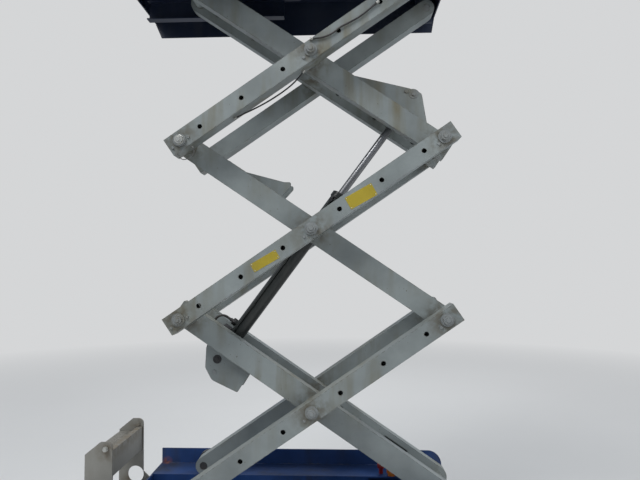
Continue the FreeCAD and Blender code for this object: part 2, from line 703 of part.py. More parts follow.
def make_rod():
    bar = rod("rod_bar", "rod_radius", ("-rod_length", 0, 0), "rod_length", "X")
    eye = rod("rod_eye", "ram_eye_radius", (0, "-ram_eye_width / 2", 0), "ram_eye_width")
    return node("cylinder_rod", sloped(fuse("rod_joined", [bar, eye]), head_at, slope))


def make_valve():
    block = box("valve", (84, "-barrel_radius - 4", "barrel_radius"),
                (142, 28, "barrel_radius + 42"))
    plug = rod("coil", 12, (120, -27, "barrel_radius + 40"), 34, "Z")
    fitting = rod("hose_fitting", "hose_radius + 2", (VALVE_HOSE[0][0], HOSE_Y, "barrel_radius + 40"),
                  f"{VALVE_HOSE[0][1] - 40} - barrel_radius", "Z")
    pipe = rod("pipe", 5, (130, "-barrel_radius", "barrel_radius - 14"),
               f"barrel_length - {GLAND + 130}", "X")
    port = rod("port", 9, (f"barrel_length - {GLAND + 22}", "-barrel_radius - 6",
                           "barrel_radius - 14"), 14)
    elbow = rod("elbow", 5, (132, "-barrel_radius", "barrel_radius - 14"), 20, "Z")
    node("valve_hose", sloped(cord("valve_hose", VALVE_HOSE, HOSE_Y, s["hose_radius"]),
                              foot_at, slope))
    skin = rod("barrel_room", "barrel_radius", (0, 0, 0), "barrel_length", "X")
    joined = fuse("valve_joined", [block, plug, pipe, port, elbow, fitting])
    return node("cylinder_valve", sloped(cut("valve_seated", joined, [skin]), foot_at, slope))


make_barrel()
make_rod()
make_valve()


# Chassis: two side rails with a roller ledge each, on bulkheads, webs, a pan and the plates over
# the wheels. The front arm pins turn in two lugs on the front plate.
def side_rail(side):
    front, rear, r = s["chassis_front"], -s["chassis_rear"], s["corner_radius"]
    top = s["base_pin_z"] + s["rail_rise"]
    outline = [(rear, s["arch_z"], 0), (front, s["arch_z"], 0), (front, top, r), (rear, top, 0)]
    low, high = sorted((side * (s["half_width"] - s["sheet"]), side * s["half_width"]))
    return plate("side_rail", outline, low, high)


def lug(side, x, z, foot, near, wide):
    outline = [(x - 75, foot, 0), (x + 60, foot, 0), (x + 45, z + 45, 44), (x - 45, z + 45, 44)]
    low, high = sorted((side * near, side * (near + wide)))
    ear = plate("lug", outline, low, high)
    hole = Part.makeCylinder(s["pin_radius"] + s["pin_play"], 2 * s["half_width"],
                             V(x, -s["half_width"], z), V(0, 1, 0))
    ear.Shape = ear.Shape.cut(hole)
    return ear


HINGE_LINE_X = "(tray_pin_ahead - bay_rear)"
HINGE_LINE_Y = "(half_width - tray_pin_in)"
TRAY_LOW = "(pan_z + 4)"
TRAY_TOP = "(arch_z - 4)"


def tray_hinge(side):
    """Two upright pins for a side tray: one on a pad at the rear bulkhead, one under the rail."""
    y = f"{side} * {HINGE_LINE_Y}"
    return [
        side_box("hinge_pad", side, ("-bay_rear", f"{HINGE_LINE_X} + 8"),
                 ("half_width - 34", "half_width"), (f"{TRAY_LOW} - pad_thick - slip_gap", f"{TRAY_LOW} - slip_gap")),
        rod("hinge_pin", "tray_pin_radius", (HINGE_LINE_X, y, f"{TRAY_LOW} - 5"), 13, "Z"),
        rod("hinge_pin", "tray_pin_radius", (HINGE_LINE_X, y, f"{TRAY_TOP} - 8"), 13, "Z"),
    ]


def make_chassis():
    rear, front, wide = "-chassis_rear", "chassis_front", "(half_width - sheet)"
    ledge_low = f"{LEDGE} - sheet"
    pieces = both(side_rail)
    for side in (-1, 1):
        pieces += [
            side_box("ledge", side, (rear, "front_pin_x - ledge_stop"), ("ledge_inner_y", wide),
                     (ledge_low, LEDGE)),
            side_box("long_web", side, (rear, "bay_front"),
                     ("ledge_inner_y", "ledge_inner_y + sheet"), ("pan_z", f"{LEDGE} - 1")),
            side_box("front_cheek", side, ("bay_front - sheet", "bay_front"),
                     ("ledge_inner_y", wide), ("well_z - 1", ledge_low)),
            side_box("rear_cheek", side, ("-bay_rear", "sheet - bay_rear"),
                     ("ledge_inner_y", wide), ("well_z - 1", ledge_low)),
            side_box("front_web", side, ("bay_front - sheet", front),
                     ("web_y - sheet", "web_y"), ("axle_high", "arch_z + 1")),
            lug(side, s["front_pin_x"], s["base_pin_z"], s["arch_z"], s["inner_face_y"] + 8,
                LUG_WIDE),
        ] + tray_hinge(side)
    pieces += [
        box("front_arch", ("bay_front - sheet", f"-{wide} - 1", "arch_z"),
            (front, f"{wide} + 1", "arch_z + sheet")),
        box("rear_arch", (rear, f"-{wide} - 1", "arch_z"),
            ("sheet - bay_rear", f"{wide} + 1", "arch_z + sheet")),
        box("front_bulkhead", ("bay_front - sheet", f"-{wide} - 1", "pan_z"),
            ("bay_front", f"{wide} + 1", "well_z")),
        box("rear_bulkhead", ("-bay_rear", f"-{wide} - 1", "pan_z"),
            ("sheet - bay_rear", f"{wide} + 1", "well_z")),
        box("pan", (rear, "-ledge_inner_y - sheet", "pan_z"),
            ("bay_front", "ledge_inner_y + sheet", "pan_z + sheet")),
        box("rear_plate", (rear, "-ledge_inner_y - sheet", "pan_z"),
            (f"{rear} + sheet", "ledge_inner_y + sheet", f"{LEDGE} - 1")),
        box("front_plate", (f"{front} - sheet", "-web_y", "axle_high"),
            (front, "web_y", "arch_z + 1")),
    ]
    return pieces


SPINDLE_HOLES = both(lambda side: side_rod("spindle_hole", side, "spindle_radius + slip_gap",
                                           "-axle_rear", (0, "ledge_inner_y + 20"),
                                           "wheel_radius"))
node("chassis_frame", cut("chassis", fuse("chassis_joined", make_chassis()), SPINDLE_HOLES))

# Rear axle: a beam with two pedestals up to the rear wheel plate and a stub spindle each side.
node("rear_axle", fuse("rear_axle", [
    box("beam", ("-axle_rear - axle_half", "-ledge_inner_y + 1", "wheel_radius - 35"),
        ("axle_half - axle_rear", "ledge_inner_y - 1", "wheel_radius + 35"))] + both(
    lambda side: side_rod("spindle", side, "spindle_radius", "-axle_rear",
                          ("ledge_inner_y - 2", "tyre_out - 40"), "wheel_radius"))))

# Front axle: a beam under the front webs with a fork at each end for the steering knuckle.
FORK_IN = "(kingpin_y - 35)"
FORK_OUT = "(kingpin_y + 28)"
fork_pieces = [box("beam", ("axle_front - axle_half", f"-{FORK_IN}", "axle_low"),
                   ("axle_front + axle_half", FORK_IN, "axle_high"))]
for side in (-1, 1):
    for low, high in (("axle_low - fork_plate", "axle_low"),
                      ("axle_high", "axle_high + fork_plate")):
        fork_pieces.append(side_box("fork", side, ("axle_front - fork_half", "axle_front + fork_half"),
                                    (f"{FORK_IN} - 40", FORK_OUT), (low, high)))
fork_bores = both(lambda side: rod("fork_bore", "kingpin_radius + pin_play",
                                   ("axle_front", f"{side} * kingpin_y", "axle_low - 20"),
                                   "axle_high - axle_low + 40", "Z"))
node("front_axle", cut("front_axle", fuse("front_axle_joined", fork_pieces), fork_bores))

SIDES = ((-1, "right"), (1, "left"))
ARM_LOW = "(axle_low - fork_plate - slip_gap - steer_plate)"


def knuckle(side, name):
    """Block between the fork plates with the kingpin, the wheel spindle and the steering arm."""
    pieces = [
        side_box("block", side, ("axle_front - 24", "axle_front + 24"),
                 ("kingpin_y - 22", "kingpin_y + 24"), ("axle_low + slip_gap", "axle_high - slip_gap")),
        rod("kingpin", "kingpin_radius", ("axle_front", f"{side} * kingpin_y", ARM_LOW),
            f"axle_high + 20 - {ARM_LOW}", "Z"),
        side_rod("spindle", side, "spindle_radius", "axle_front",
                 ("kingpin_y + 22", "tyre_out - 40"), "wheel_radius"),
        side_box("steering_arm", side, ("axle_front - steer_arm - 18", "axle_front + 18"),
                 ("kingpin_y - 18", "kingpin_y + 18"), (ARM_LOW, f"{ARM_LOW} + steer_plate")),
    ]
    return node("steering_knuckle_" + name, fuse("knuckle", pieces))


for side, name in SIDES:
    knuckle(side, name)

# Tie rod behind the axle beam, over the ends of the steering arms.
TIE_X = "(axle_front - steer_arm)"
TIE_LOW = f"({ARM_LOW} + steer_plate + slip_gap)"
node("tie_rod", fuse("tie_rod", [
    rod("tie_bar", 9, (TIE_X, "-kingpin_y", f"{TIE_LOW} + 12"), "2 * kingpin_y"),
] + both(lambda side: rod("tie_eye", 13, (TIE_X, f"{side} * kingpin_y", TIE_LOW), 24, "Z"))))


def rim_profile(side):
    """Half section of a dished rim, as distance from the middle of the machine and radius."""
    out = s["tyre_out"]
    inner = out - s["tyre_width"]
    seat, wall, hub, bore = s["rim_radius"], s["rim_wall"], s["hub_radius"], s["spindle_radius"]
    web_out, web_in = out - 24, out - 38
    corners = [(inner + 4, seat), (out - 4, seat), (out - 4, seat - wall),
               (web_out, seat - wall - 8), (web_out, hub + 14), (out - 10, hub - 6),
               (out - 10, bore + 5), (out - 34, bore + s["pin_play"]),
               (inner + 50, bore + s["pin_play"]), (inner + 50, hub), (web_in, hub + 8),
               (web_in, seat - wall - 12), (web_in - 12, seat - wall), (inner + 4, seat - wall)]
    return [V(0, side * y, r) for y, r in corners]


def tyre_profile(side):
    out = s["tyre_out"]
    inner = out - s["tyre_width"]
    seat, tread = s["rim_radius"], s["wheel_radius"]
    corners = [(inner + 4, seat), (inner, seat + 8), (inner, tread - 16), (inner + 5, tread - 5),
               (inner + 16, tread), (out - 16, tread), (out - 5, tread - 5), (out, tread - 16),
               (out, seat + 8), (out - 4, seat)]
    return [V(0, side * y, r) for y, r in corners]


def turned(word, points, x, z):
    """A ring turned about the wheel's axle from its half section."""
    wire = Part.makePolygon(points + [points[0]])
    solid = Part.Face(wire).revolve(V(0, 0, 0), V(0, 1, 0), 360)
    piece = fresh("Part::Feature", word)
    piece.Shape = solid
    piece.Placement = FreeCAD.Placement(V(x, 0, z), FreeCAD.Rotation())
    return piece


def make_wheels():
    for end, x in (("front", s["axle_front"]), ("rear", -s["axle_rear"])):
        for side, name in SIDES:
            node(f"rim_{end}_{name}", turned("rim", rim_profile(side), x, s["wheel_radius"]))
            node(f"tyre_{end}_{name}", turned("tyre", tyre_profile(side), x, s["wheel_radius"]))


make_wheels()

# Pothole guards: a bar low along each side, on three arms from the web.
node("pothole_guards", group("guards", both(lambda side: fuse("guard", [
    side_box("guard_bar", side, ("60 - bay_rear", "bay_front - 60"),
             ("half_width - 50", "half_width - 38"), (34, 92))] + [
    side_box("guard_arm", side, (f"{x} - 15", f"{x} + 15"),
             ("ledge_inner_y + sheet", "half_width - 44"), ("pan_z - 16", "pan_z - 6"))
    for x in ("110 - bay_rear", "0", "bay_front - 110")] + [
    side_box("guard_foot", side, (f"{x} - 15", f"{x} + 15"),
             ("ledge_inner_y - 16", "ledge_inner_y + sheet + 1"), ("pan_z - 16", "pan_z"))
    for x in ("110 - bay_rear", "0", "bay_front - 110")]))))


# Side bays: a swing-out tray each side, on a hinge at its rear outer corner.
def tray(side, name):
    outer = "(half_width - sheet)"
    rear, front = f"({HINGE_LINE_X} + 6)", "(bay_front - 52)"
    low, high = "(pan_z + 12)", "(arch_z - 12)"
    shell = side_box("tray_shell", side, (rear, front), ("ledge_inner_y + sheet + 6", outer),
                     (low, high))
    room = side_box("tray_room", side, (f"{rear} + 4", f"{front} - 4"),
                    ("ledge_inner_y + sheet + 10", f"{outer} - 2"), (f"{low} + 4", f"{high} + 1"))
    skin = side_box("tray_door", side, ("sheet + 2 - bay_rear", "bay_front - 16"),
                    (outer, "half_width"), (TRAY_LOW, TRAY_TOP))
    handle = side_box("tray_latch", side, ("bay_front - 70", "bay_front - 40"),
                      ("half_width - 1", "half_width"), ("arch_z - 90", "arch_z - 60"))
    whole = fuse("tray", [cut("tray_box", shell, [room]), skin, handle])
    sockets = [rod("hinge_socket", "tray_pin_radius + pin_play",
                   (HINGE_LINE_X, f"{side} * {HINGE_LINE_Y}", z), 9.5, "Z")
               for z in (f"{TRAY_LOW} - 1", f"{TRAY_TOP} - 8.5")]
    node("side_tray_" + name, cut("tray_hinged", whole, sockets))
    inside = ("(ledge_inner_y + sheet + 14)", f"({outer} - 8)")
    node({"right": "battery_block", "left": "hydraulic_unit"}[name],
         side_box("heavy", side, (f"{rear} + 30", f"{front} - {60 if side < 0 else 260}"), inside,
                  (f"{low} + 4", f"{high} - {20 if side < 0 else 40}")))


for side, name in SIDES:
    tray(side, name)


# Step frame at the rear: two side plates with ears, bolted to the chassis's rear plate, and
# treads between them.
def step_side(side):
    rear, ear, end = -s["step_rear"], -s["step_front"], -s["chassis_rear"]
    pin_x, pin_z = rear + s["step_pin_in"], s["step_pin_z"]
    foot = s["step_foot"]
    outline = [(rear, foot + 30, 12), (rear, pin_z - 29, 0), (pin_x - 29, pin_z + 28, 10),
               (pin_x + 28, pin_z + 28, 27), (ear, 470, 0), (end, 430, 0), (end, foot, 0),
               (rear + 60, foot, 20)]
    low, high = sorted((side * (s["step_y"] - s["step_plate"] / 2),
                        side * (s["step_y"] + s["step_plate"] / 2)))
    cheek = plate("step_side", outline, low, high)
    eye = Part.makeCylinder(s["step_hole"], 2 * s["half_width"],
                            V(pin_x - s["step_plate"], -s["half_width"], pin_z - s["step_hole_drop"]),
                            V(0, 1, 0))
    cheek.Shape = cheek.Shape.cut(eye)
    return cheek


def make_step():
    inside = "(step_y - step_plate / 2 + 1)"
    pieces = both(step_side)
    for count_down in range(3):
        top = f"(tread_z - {count_down} * tread_drop)"
        back, front = "(4 - step_rear)", "(4 + tread_deep - step_rear)"
        pieces.append(box("tread", (back, f"-{inside}", f"{top} - tread_thick"),
                          (front, inside, top)))
        pieces.append(box("tread_lip", (f"{front} - tread_thick", f"-{inside}",
                                        f"{top} - tread_thick - tread_fold"), (front, inside, top)))
    ear_front, ear_top = "(-step_front - 6)", "(tread_z + 24)"
    pieces.append(box("ear_plate", (f"{ear_front} - sheet", f"-{inside}", "tread_z - 95"),
                      (ear_front, inside, ear_top)))
    pieces.append(box("ear_flange", (f"{ear_front} - 26", f"-{inside}", f"{ear_top} - tread_thick"),
                      (ear_front, inside, ear_top)))
    pieces += both(lambda side: side_rod("ear_pin", side, 12, "step_pin_in - step_rear",
                                         ("step_y - 14", "step_y + 14"), "step_pin_z"))
    return pieces


node("rear_step", fuse("rear_step", make_step()))


# Platform: side skirts and end skirts round a floor on cross beams, two roller tracks and two
# lugs for the top arm pins, toe boards, guardrails and a gate at the rear.
def skirt(side):
    rear, front = -s["platform_rear"], s["platform_front"]
    pin = s["base_pin_z"] + 3 * s["arm_pitch"] * SIN
    low_z, high_z = pin - s["skirt_drop"], pin + s["floor_rise"] + s["floor_thick"] + s["toe_height"]
    lean, bend = s["skirt_lean"], s["skirt_drop"] + s["skirt_bend"]
    outline = [(rear + lean, low_z, 0), (front - s["skirt_nose"], low_z, 0), (front, low_z + bend, 0),
               (front, high_z, 0), (rear, high_z, 0), (rear, low_z + bend, 0)]
    low, high = sorted((side * (s["platform_half"] - s["skirt_wall"]), side * s["platform_half"]))
    return plate("skirt", outline, low, high)


def make_platform():
    rear, front = "-platform_rear", "platform_front"
    inside = "(platform_half - skirt_wall + 1)"
    floor_low = f"({TOP_PIN} + floor_rise)"
    pieces = both(skirt)
    for a, b, top in ((rear, f"{rear} + skirt_wall", FLOOR_TOP),
                      (f"{front} - skirt_wall", front, f"{FLOOR_TOP} + toe_height")):
        pieces.append(box("end_skirt", (a, f"-{inside}", f"{TOP_PIN} + end_rise"), (b, inside, top)))
    beams = [f"{start} - platform_rear" for start in ("beam_in", "beam_step", "2 * beam_step", "3 * beam_step")]
    for x in beams + ["platform_front - beam_in - beam_wide"]:
        pieces.append(box("cross_beam", (x, f"-{inside}", f"{floor_low} - beam_deep"),
                          (f"{x} + beam_wide", inside, floor_low)))
    for side in (-1, 1):
        near = "(inner_face_y + side_gap - 1)"
        web = f"({near} + roller_width + 5)"
        half = "(roller_radius + track_play)"
        start = f"{rear} + track_in"
        short, full = f"{MIDDLE} - track_short", f"{MIDDLE} - track_long"
        for end, low, high, reach in (
                (short, f"{TOP_PIN} - {half} - track_wall", f"{TOP_PIN} - {half}", near),
                (full, f"{TOP_PIN} + {half}", f"{TOP_PIN} + {half} + track_wall", near),
                (short, f"{TOP_PIN} - {half} - 1", f"{TOP_PIN} + {half} + 1", web),
                (full, f"{TOP_PIN} + {half}", f"{floor_low} - beam_deep + 1", web)):
            pieces.append(side_box("track", side, (start, end), (reach, f"{web} + track_wall"),
                                   (low, high)))
        pieces.append(side_box("top_lug", side, ("front_pin_x - top_lug_half", "front_pin_x + top_lug_half"),
                               (TOP_LUG_IN, f"{TOP_LUG_IN} + {LUG_WIDE}"),
                               (f"{TOP_PIN} - top_lug_drop", f"{floor_low} - beam_deep + 1")))
        pieces.append(side_box("side_beam", side, (rear, front), (f"{TOP_LUG_IN}", inside),
                               (f"{floor_low} - beam_deep", floor_low)))
    bores = both(lambda side: side_rod("lug_bore", side, BORE, "front_pin_x",
                                       (OUTER_IN, f"{TOP_LUG_IN} + {LUG_WIDE} + 1"), TOP_PIN))
    node("platform_frame", cut("platform", fuse("platform_joined", pieces), bores))
    edge = "(platform_half - skirt_wall - slip_gap)"
    node("platform_floor", box("floor", (f"{rear} + skirt_wall + slip_gap", f"-{edge}", floor_low),
                               (f"{front} - skirt_wall - slip_gap", edge, FLOOR_TOP)))


make_platform()

RAIL_Y = "(platform_half - skirt_wall - rail_radius - 1)"
RAIL_TOP = f"({FLOOR_TOP} + rail_height - rail_radius)"
RAIL_MID = f"({FLOOR_TOP} + rail_height / 2)"
POST_REAR = "(post_inset - platform_rear)"
POST_FRONT = "(platform_front - post_inset)"


def upright(x, y, top=RAIL_TOP):
    return rod("post", "rail_radius", (x, y, FLOOR_TOP), f"{top} - {FLOOR_TOP}", "Z")


def side_guard(side, name):
    y = f"{side} * {RAIL_Y}"
    bars = [rod("rail", "rail_radius", (POST_REAR, y, z), f"{POST_FRONT} - ({POST_REAR})", "X")
            for z in (RAIL_TOP, RAIL_MID)]
    posts = [upright(x, y) for x in (POST_REAR, f"({POST_REAR} + {POST_FRONT}) / 2", POST_FRONT)]
    bends = [corner_ball("rail_radius", x, y, RAIL_TOP) for x in (POST_REAR, POST_FRONT)]
    node("guardrail_" + name, fuse("side_guard", bars + posts + bends))


def corner_ball(radius, x, y, z):
    """The bend where two tubes meet."""
    ball = fresh("Part::Sphere", "bend")
    bind(ball, "Radius", radius)
    return place(ball, (x, y, z))


for side, name in SIDES:
    side_guard(side, name)

END_REACH = f"({RAIL_Y} - rail_radius - slip_gap)"
node("guardrail_front", fuse("front_guard", [
    rod("rail", "rail_radius", (POST_FRONT, f"-{END_REACH}", z), f"2 * {END_REACH}")
    for z in (RAIL_TOP, RAIL_MID)] + [
    upright(POST_FRONT, f"{side} * ({END_REACH} - rail_radius - 12)") for side in (-1, 1)]))
GATE_Y = "(gate_half - rail_radius)"
GATE_LOW = f"({FLOOR_TOP} + gate_lift)"
HINGE_X = f"({POST_REAR} + gate_hinge)"
HINGE_Y = "(gate_half - gate_slack)"
HINGES = (f"({GATE_LOW} + gate_lift / 2)", f"({RAIL_TOP} - gate_lift)")


def rear_stub(side):
    post_y = f"{side} * (gate_half + rail_radius)"
    pieces = [side_rod("rail", side, "rail_radius - 1", POST_REAR,
                       ("gate_half + rail_radius", END_REACH), z) for z in (RAIL_TOP, RAIL_MID)]
    pieces += [upright(POST_REAR, post_y), corner_ball("rail_radius", POST_REAR, post_y, RAIL_TOP)]
    if side > 0:
        for z in HINGES:
            pieces += [
                box("hinge", (f"{POST_REAR} - 8", f"{HINGE_Y} - 1", f"{z} + hinge_thick + slip_gap"),
                    (f"{HINGE_X} + 8", f"{HINGE_Y} + 20", f"{z} + 2 * hinge_thick + slip_gap")),
                rod("gate_pin", "gate_pin_radius", (HINGE_X, HINGE_Y, f"{z} - 3"),
                    "2 * hinge_thick + 2", "Z")]
    return fuse("rear_stub", pieces)


node("guardrail_rear", group("rear_guard", both(rear_stub)))

GATE_TUBE = "(rail_radius - 3)"
GATE_SIDE = f"({GATE_Y} - gate_slack)"


def make_gate():
    pieces = [rod("rail", f"{GATE_TUBE} - 1", (POST_REAR, f"-{GATE_SIDE}", z), f"2 * {GATE_SIDE}")
              for z in (RAIL_TOP, RAIL_MID, GATE_LOW)]
    for y in (f"-{GATE_SIDE}", GATE_SIDE):
        pieces.append(rod("gate_post", GATE_TUBE, (POST_REAR, y, GATE_LOW),
                          f"{RAIL_TOP} - {GATE_LOW}", "Z"))
        pieces += [corner_ball(GATE_TUBE, POST_REAR, y, z) for z in (RAIL_TOP, GATE_LOW)]
    holes = []
    for z in HINGES:
        pieces += [box("hinge", (f"{POST_REAR} - 8", f"{HINGE_Y} - 22", z),
                       (f"{HINGE_X} + 8", f"{HINGE_Y} + 6", f"{z} + hinge_thick")),
                   rod("hinge_eye", "gate_pin_radius + 6", (HINGE_X, HINGE_Y, z), "hinge_thick", "Z")]
        holes.append(rod("hinge_hole", "gate_pin_radius + pin_play", (HINGE_X, HINGE_Y, f"{z} - 1"),
                         "hinge_thick + 2", "Z"))
    node("entry_gate", cut("gate", fuse("gate_joined", pieces), holes))


make_gate()


# Control boxes. The platform's hangs on the front rail: a housing with a sloped top, a drive lever in
# a boot and a stop button. The chassis's box stands under the left ledge with its own stop button.
def platform_control():
    back = s["platform_front"] - s["post_inset"] - s["rail_radius"]
    rail_top = (s["base_pin_z"] + 3 * s["arm_pitch"] * SIN + s["floor_rise"] + s["floor_thick"]
                + s["rail_height"] - s["rail_radius"])
    deep, low, high, slope_drop = 150, rail_top - 150, rail_top + 22, 58
    outline = [(back - deep, low, 14), (back, low, 10), (back, high, 12),
               (back - 46, high, 16), (back - deep, high - slope_drop, 10)]
    housing = plate("housing", outline, -100, 100)
    lever_x = back - 26
    lever = [rod("boot", 17, (lever_x, 52, high - 2), 12, "Z"),
             rod("lever", 6, (lever_x, 52, high), 52, "Z"),
             rod("grip", 12, (lever_x, 52, high + 34), 40, "Z")]
    stop = [rod("stop_neck", 11, (lever_x, -54, high - 2), 14, "Z"),
            rod("stop_button", 19, (lever_x, -54, high + 10), 13, "Z")]
    return node("platform_control", fuse("control", [housing] + lever + stop))


platform_control()
node("ground_control", fuse("ground_control", [
    box("ground_box", (-150, "half_width - sheet - 60", "arch_z + sheet"),
        (110, "half_width - sheet", f"{LEDGE} - sheet - 4")),
    rod("key_boss", 11, (-90, "half_width - sheet - 72", "arch_z + sheet + 50"), 13),
    rod("stop_boss", 17, (50, "half_width - sheet - 78", "arch_z + sheet + 50"), 19)]))

doc.recompute()
problems = []
for thing in doc.Objects:
    if "Invalid" in thing.State or "Error" in thing.State:
        problems.append(thing.Name + " failed")
for label, thing in made.items():
    shape = thing.Shape
    if shape.isNull() or not shape.isValid() or not shape.Solids:
        problems.append(label + " has no valid solid")
if problems:
    raise SystemExit("; ".join(problems))

os.makedirs("parts", exist_ok=True)
for label, thing in made.items():
    thing.Shape.exportStep("parts/" + label + ".step")
print(len(made), "nodes")
print("foot", [round(v, 2) for v in foot_at], "head", [round(v, 2) for v in head_at],
      "slope", round(slope, 3), "length", round(stroke_now, 1))
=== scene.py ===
import math
import bpy
import numpy as np
from mathutils import Matrix, Vector


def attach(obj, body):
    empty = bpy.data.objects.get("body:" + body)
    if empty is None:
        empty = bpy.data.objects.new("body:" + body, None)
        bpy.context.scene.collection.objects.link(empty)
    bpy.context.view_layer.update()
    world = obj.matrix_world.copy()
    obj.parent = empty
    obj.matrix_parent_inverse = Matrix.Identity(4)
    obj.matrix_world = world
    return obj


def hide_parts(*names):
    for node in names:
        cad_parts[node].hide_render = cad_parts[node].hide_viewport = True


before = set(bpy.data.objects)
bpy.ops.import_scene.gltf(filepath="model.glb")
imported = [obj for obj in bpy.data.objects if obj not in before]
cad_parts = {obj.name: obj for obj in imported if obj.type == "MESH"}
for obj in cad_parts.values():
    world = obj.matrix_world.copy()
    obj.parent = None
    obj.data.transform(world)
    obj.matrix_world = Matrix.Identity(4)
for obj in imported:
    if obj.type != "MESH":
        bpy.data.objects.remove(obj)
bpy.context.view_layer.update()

# Chassis: folded and welded steel plate, with a rounded upright rail and a flat roller ledge on
# each side, bulkheads, a pan and a plate over each pair of wheels. Blue enamel, worn through on
# the ledges where the rollers run and at the edges that feet and loads touch.
BLUE = (0.014, 0.050, 0.175)
PRIMER = (0.075, 0.066, 0.058)
DUST = (0.20, 0.175, 0.14)
RUST = (0.30, 0.10, 0.022)
SIDES = (-1, 1)
FREE = math.inf
RAIL_FACE = 0.38
LEDGE_TOP = 0.452


def shader(tree, kind, inputs=None, **settings):
    """One shader node. settings are its own properties. inputs are its sockets by name or number,
    each with a value or with the output of another node."""
    made = tree.nodes.new(kind)
    for word, value in settings.items():
        setattr(made, word, value)
    for socket, value in (inputs or {}).items():
        if isinstance(value, bpy.types.NodeSocket):
            tree.links.new(value, made.inputs[socket])
        else:
            made.inputs[socket].default_value = value
    return made


def blank_material(name):
    """A material with an empty tree, its Principled shader and the place on the object."""
    made = bpy.data.materials.new(name)
    made.use_nodes = True
    tree = made.node_tree
    tree.nodes.clear()
    surface = shader(tree, "ShaderNodeBsdfPrincipled")
    output = shader(tree, "ShaderNodeOutputMaterial")
    tree.links.new(surface.outputs[0], output.inputs[0])
    place = shader(tree, "ShaderNodeTexCoord").outputs["Object"]
    return made, tree, surface, place


def speckle(tree, place, scale, detail=6.0, stretch=(1.0, 1.0, 1.0)):
    """Cloudy noise from 0 to 1, drawn out along an axis where stretch is under 1."""
    run = shader(tree, "ShaderNodeMapping", {"Vector": place, "Scale": stretch})
    cloud = shader(tree, "ShaderNodeTexNoise",
                   {"Vector": run.outputs[0], "Scale": scale, "Detail": detail})
    return cloud.outputs[0]


def ramp(tree, value, start, end, low=0.0, high=1.0):
    """value taken from start..end to low..high, and held there outside that range."""
    return shader(tree, "ShaderNodeMapRange",
                  {0: value, 1: start, 2: end, 3: low, 4: high}).outputs[0]


def combined(tree, one, other, operation="MULTIPLY"):
    """One value from two, multiplied unless another operation is named."""
    return shader(tree, "ShaderNodeMath", {0: one, 1: other}, operation=operation).outputs[0]


def blend_colour(tree, amount, under, over):
    """under where amount is 0 and over where it is 1."""
    mix = shader(tree, "ShaderNodeMix", {0: amount}, data_type="RGBA")
    for socket, colour in ((6, under), (7, over)):
        if isinstance(colour, bpy.types.NodeSocket):
            tree.links.new(colour, mix.inputs[socket])
        else:
            mix.inputs[socket].default_value = (*colour, 1.0)
    return mix.outputs[2]


def edge_wear(tree, width):
    """1 at an outer or inner edge and 0 on a flat: how far a normal smoothed over width turns
    away from the true one."""
    soft = shader(tree, "ShaderNodeBevel", {"Radius": width}, samples=4)
    true = shader(tree, "ShaderNodeNewGeometry").outputs["Normal"]
    turn = shader(tree, "ShaderNodeVectorMath", {0: soft.outputs[0], 1: true},
                  operation="DOT_PRODUCT")
    return ramp(tree, turn.outputs["Value"], 0.985, 0.88)


def near_spots(tree, place, spots, reach, flat=(1.0, 1.0, 1.0)):
    """1 at any of the spots, falling to 0 at reach from it. flat leaves out the axes that are 0."""
    here = shader(tree, "ShaderNodeVectorMath", {0: place, 1: flat}, operation="MULTIPLY")
    most = None
    for spot in spots:
        gap = shader(tree, "ShaderNodeVectorMath", {0: here.outputs[0], 1: spot},
                     operation="DISTANCE").outputs["Value"]
        close = ramp(tree, gap, reach, 0.25 * reach)
        most = close if most is None else combined(tree, most, close, "MAXIMUM")
    return most


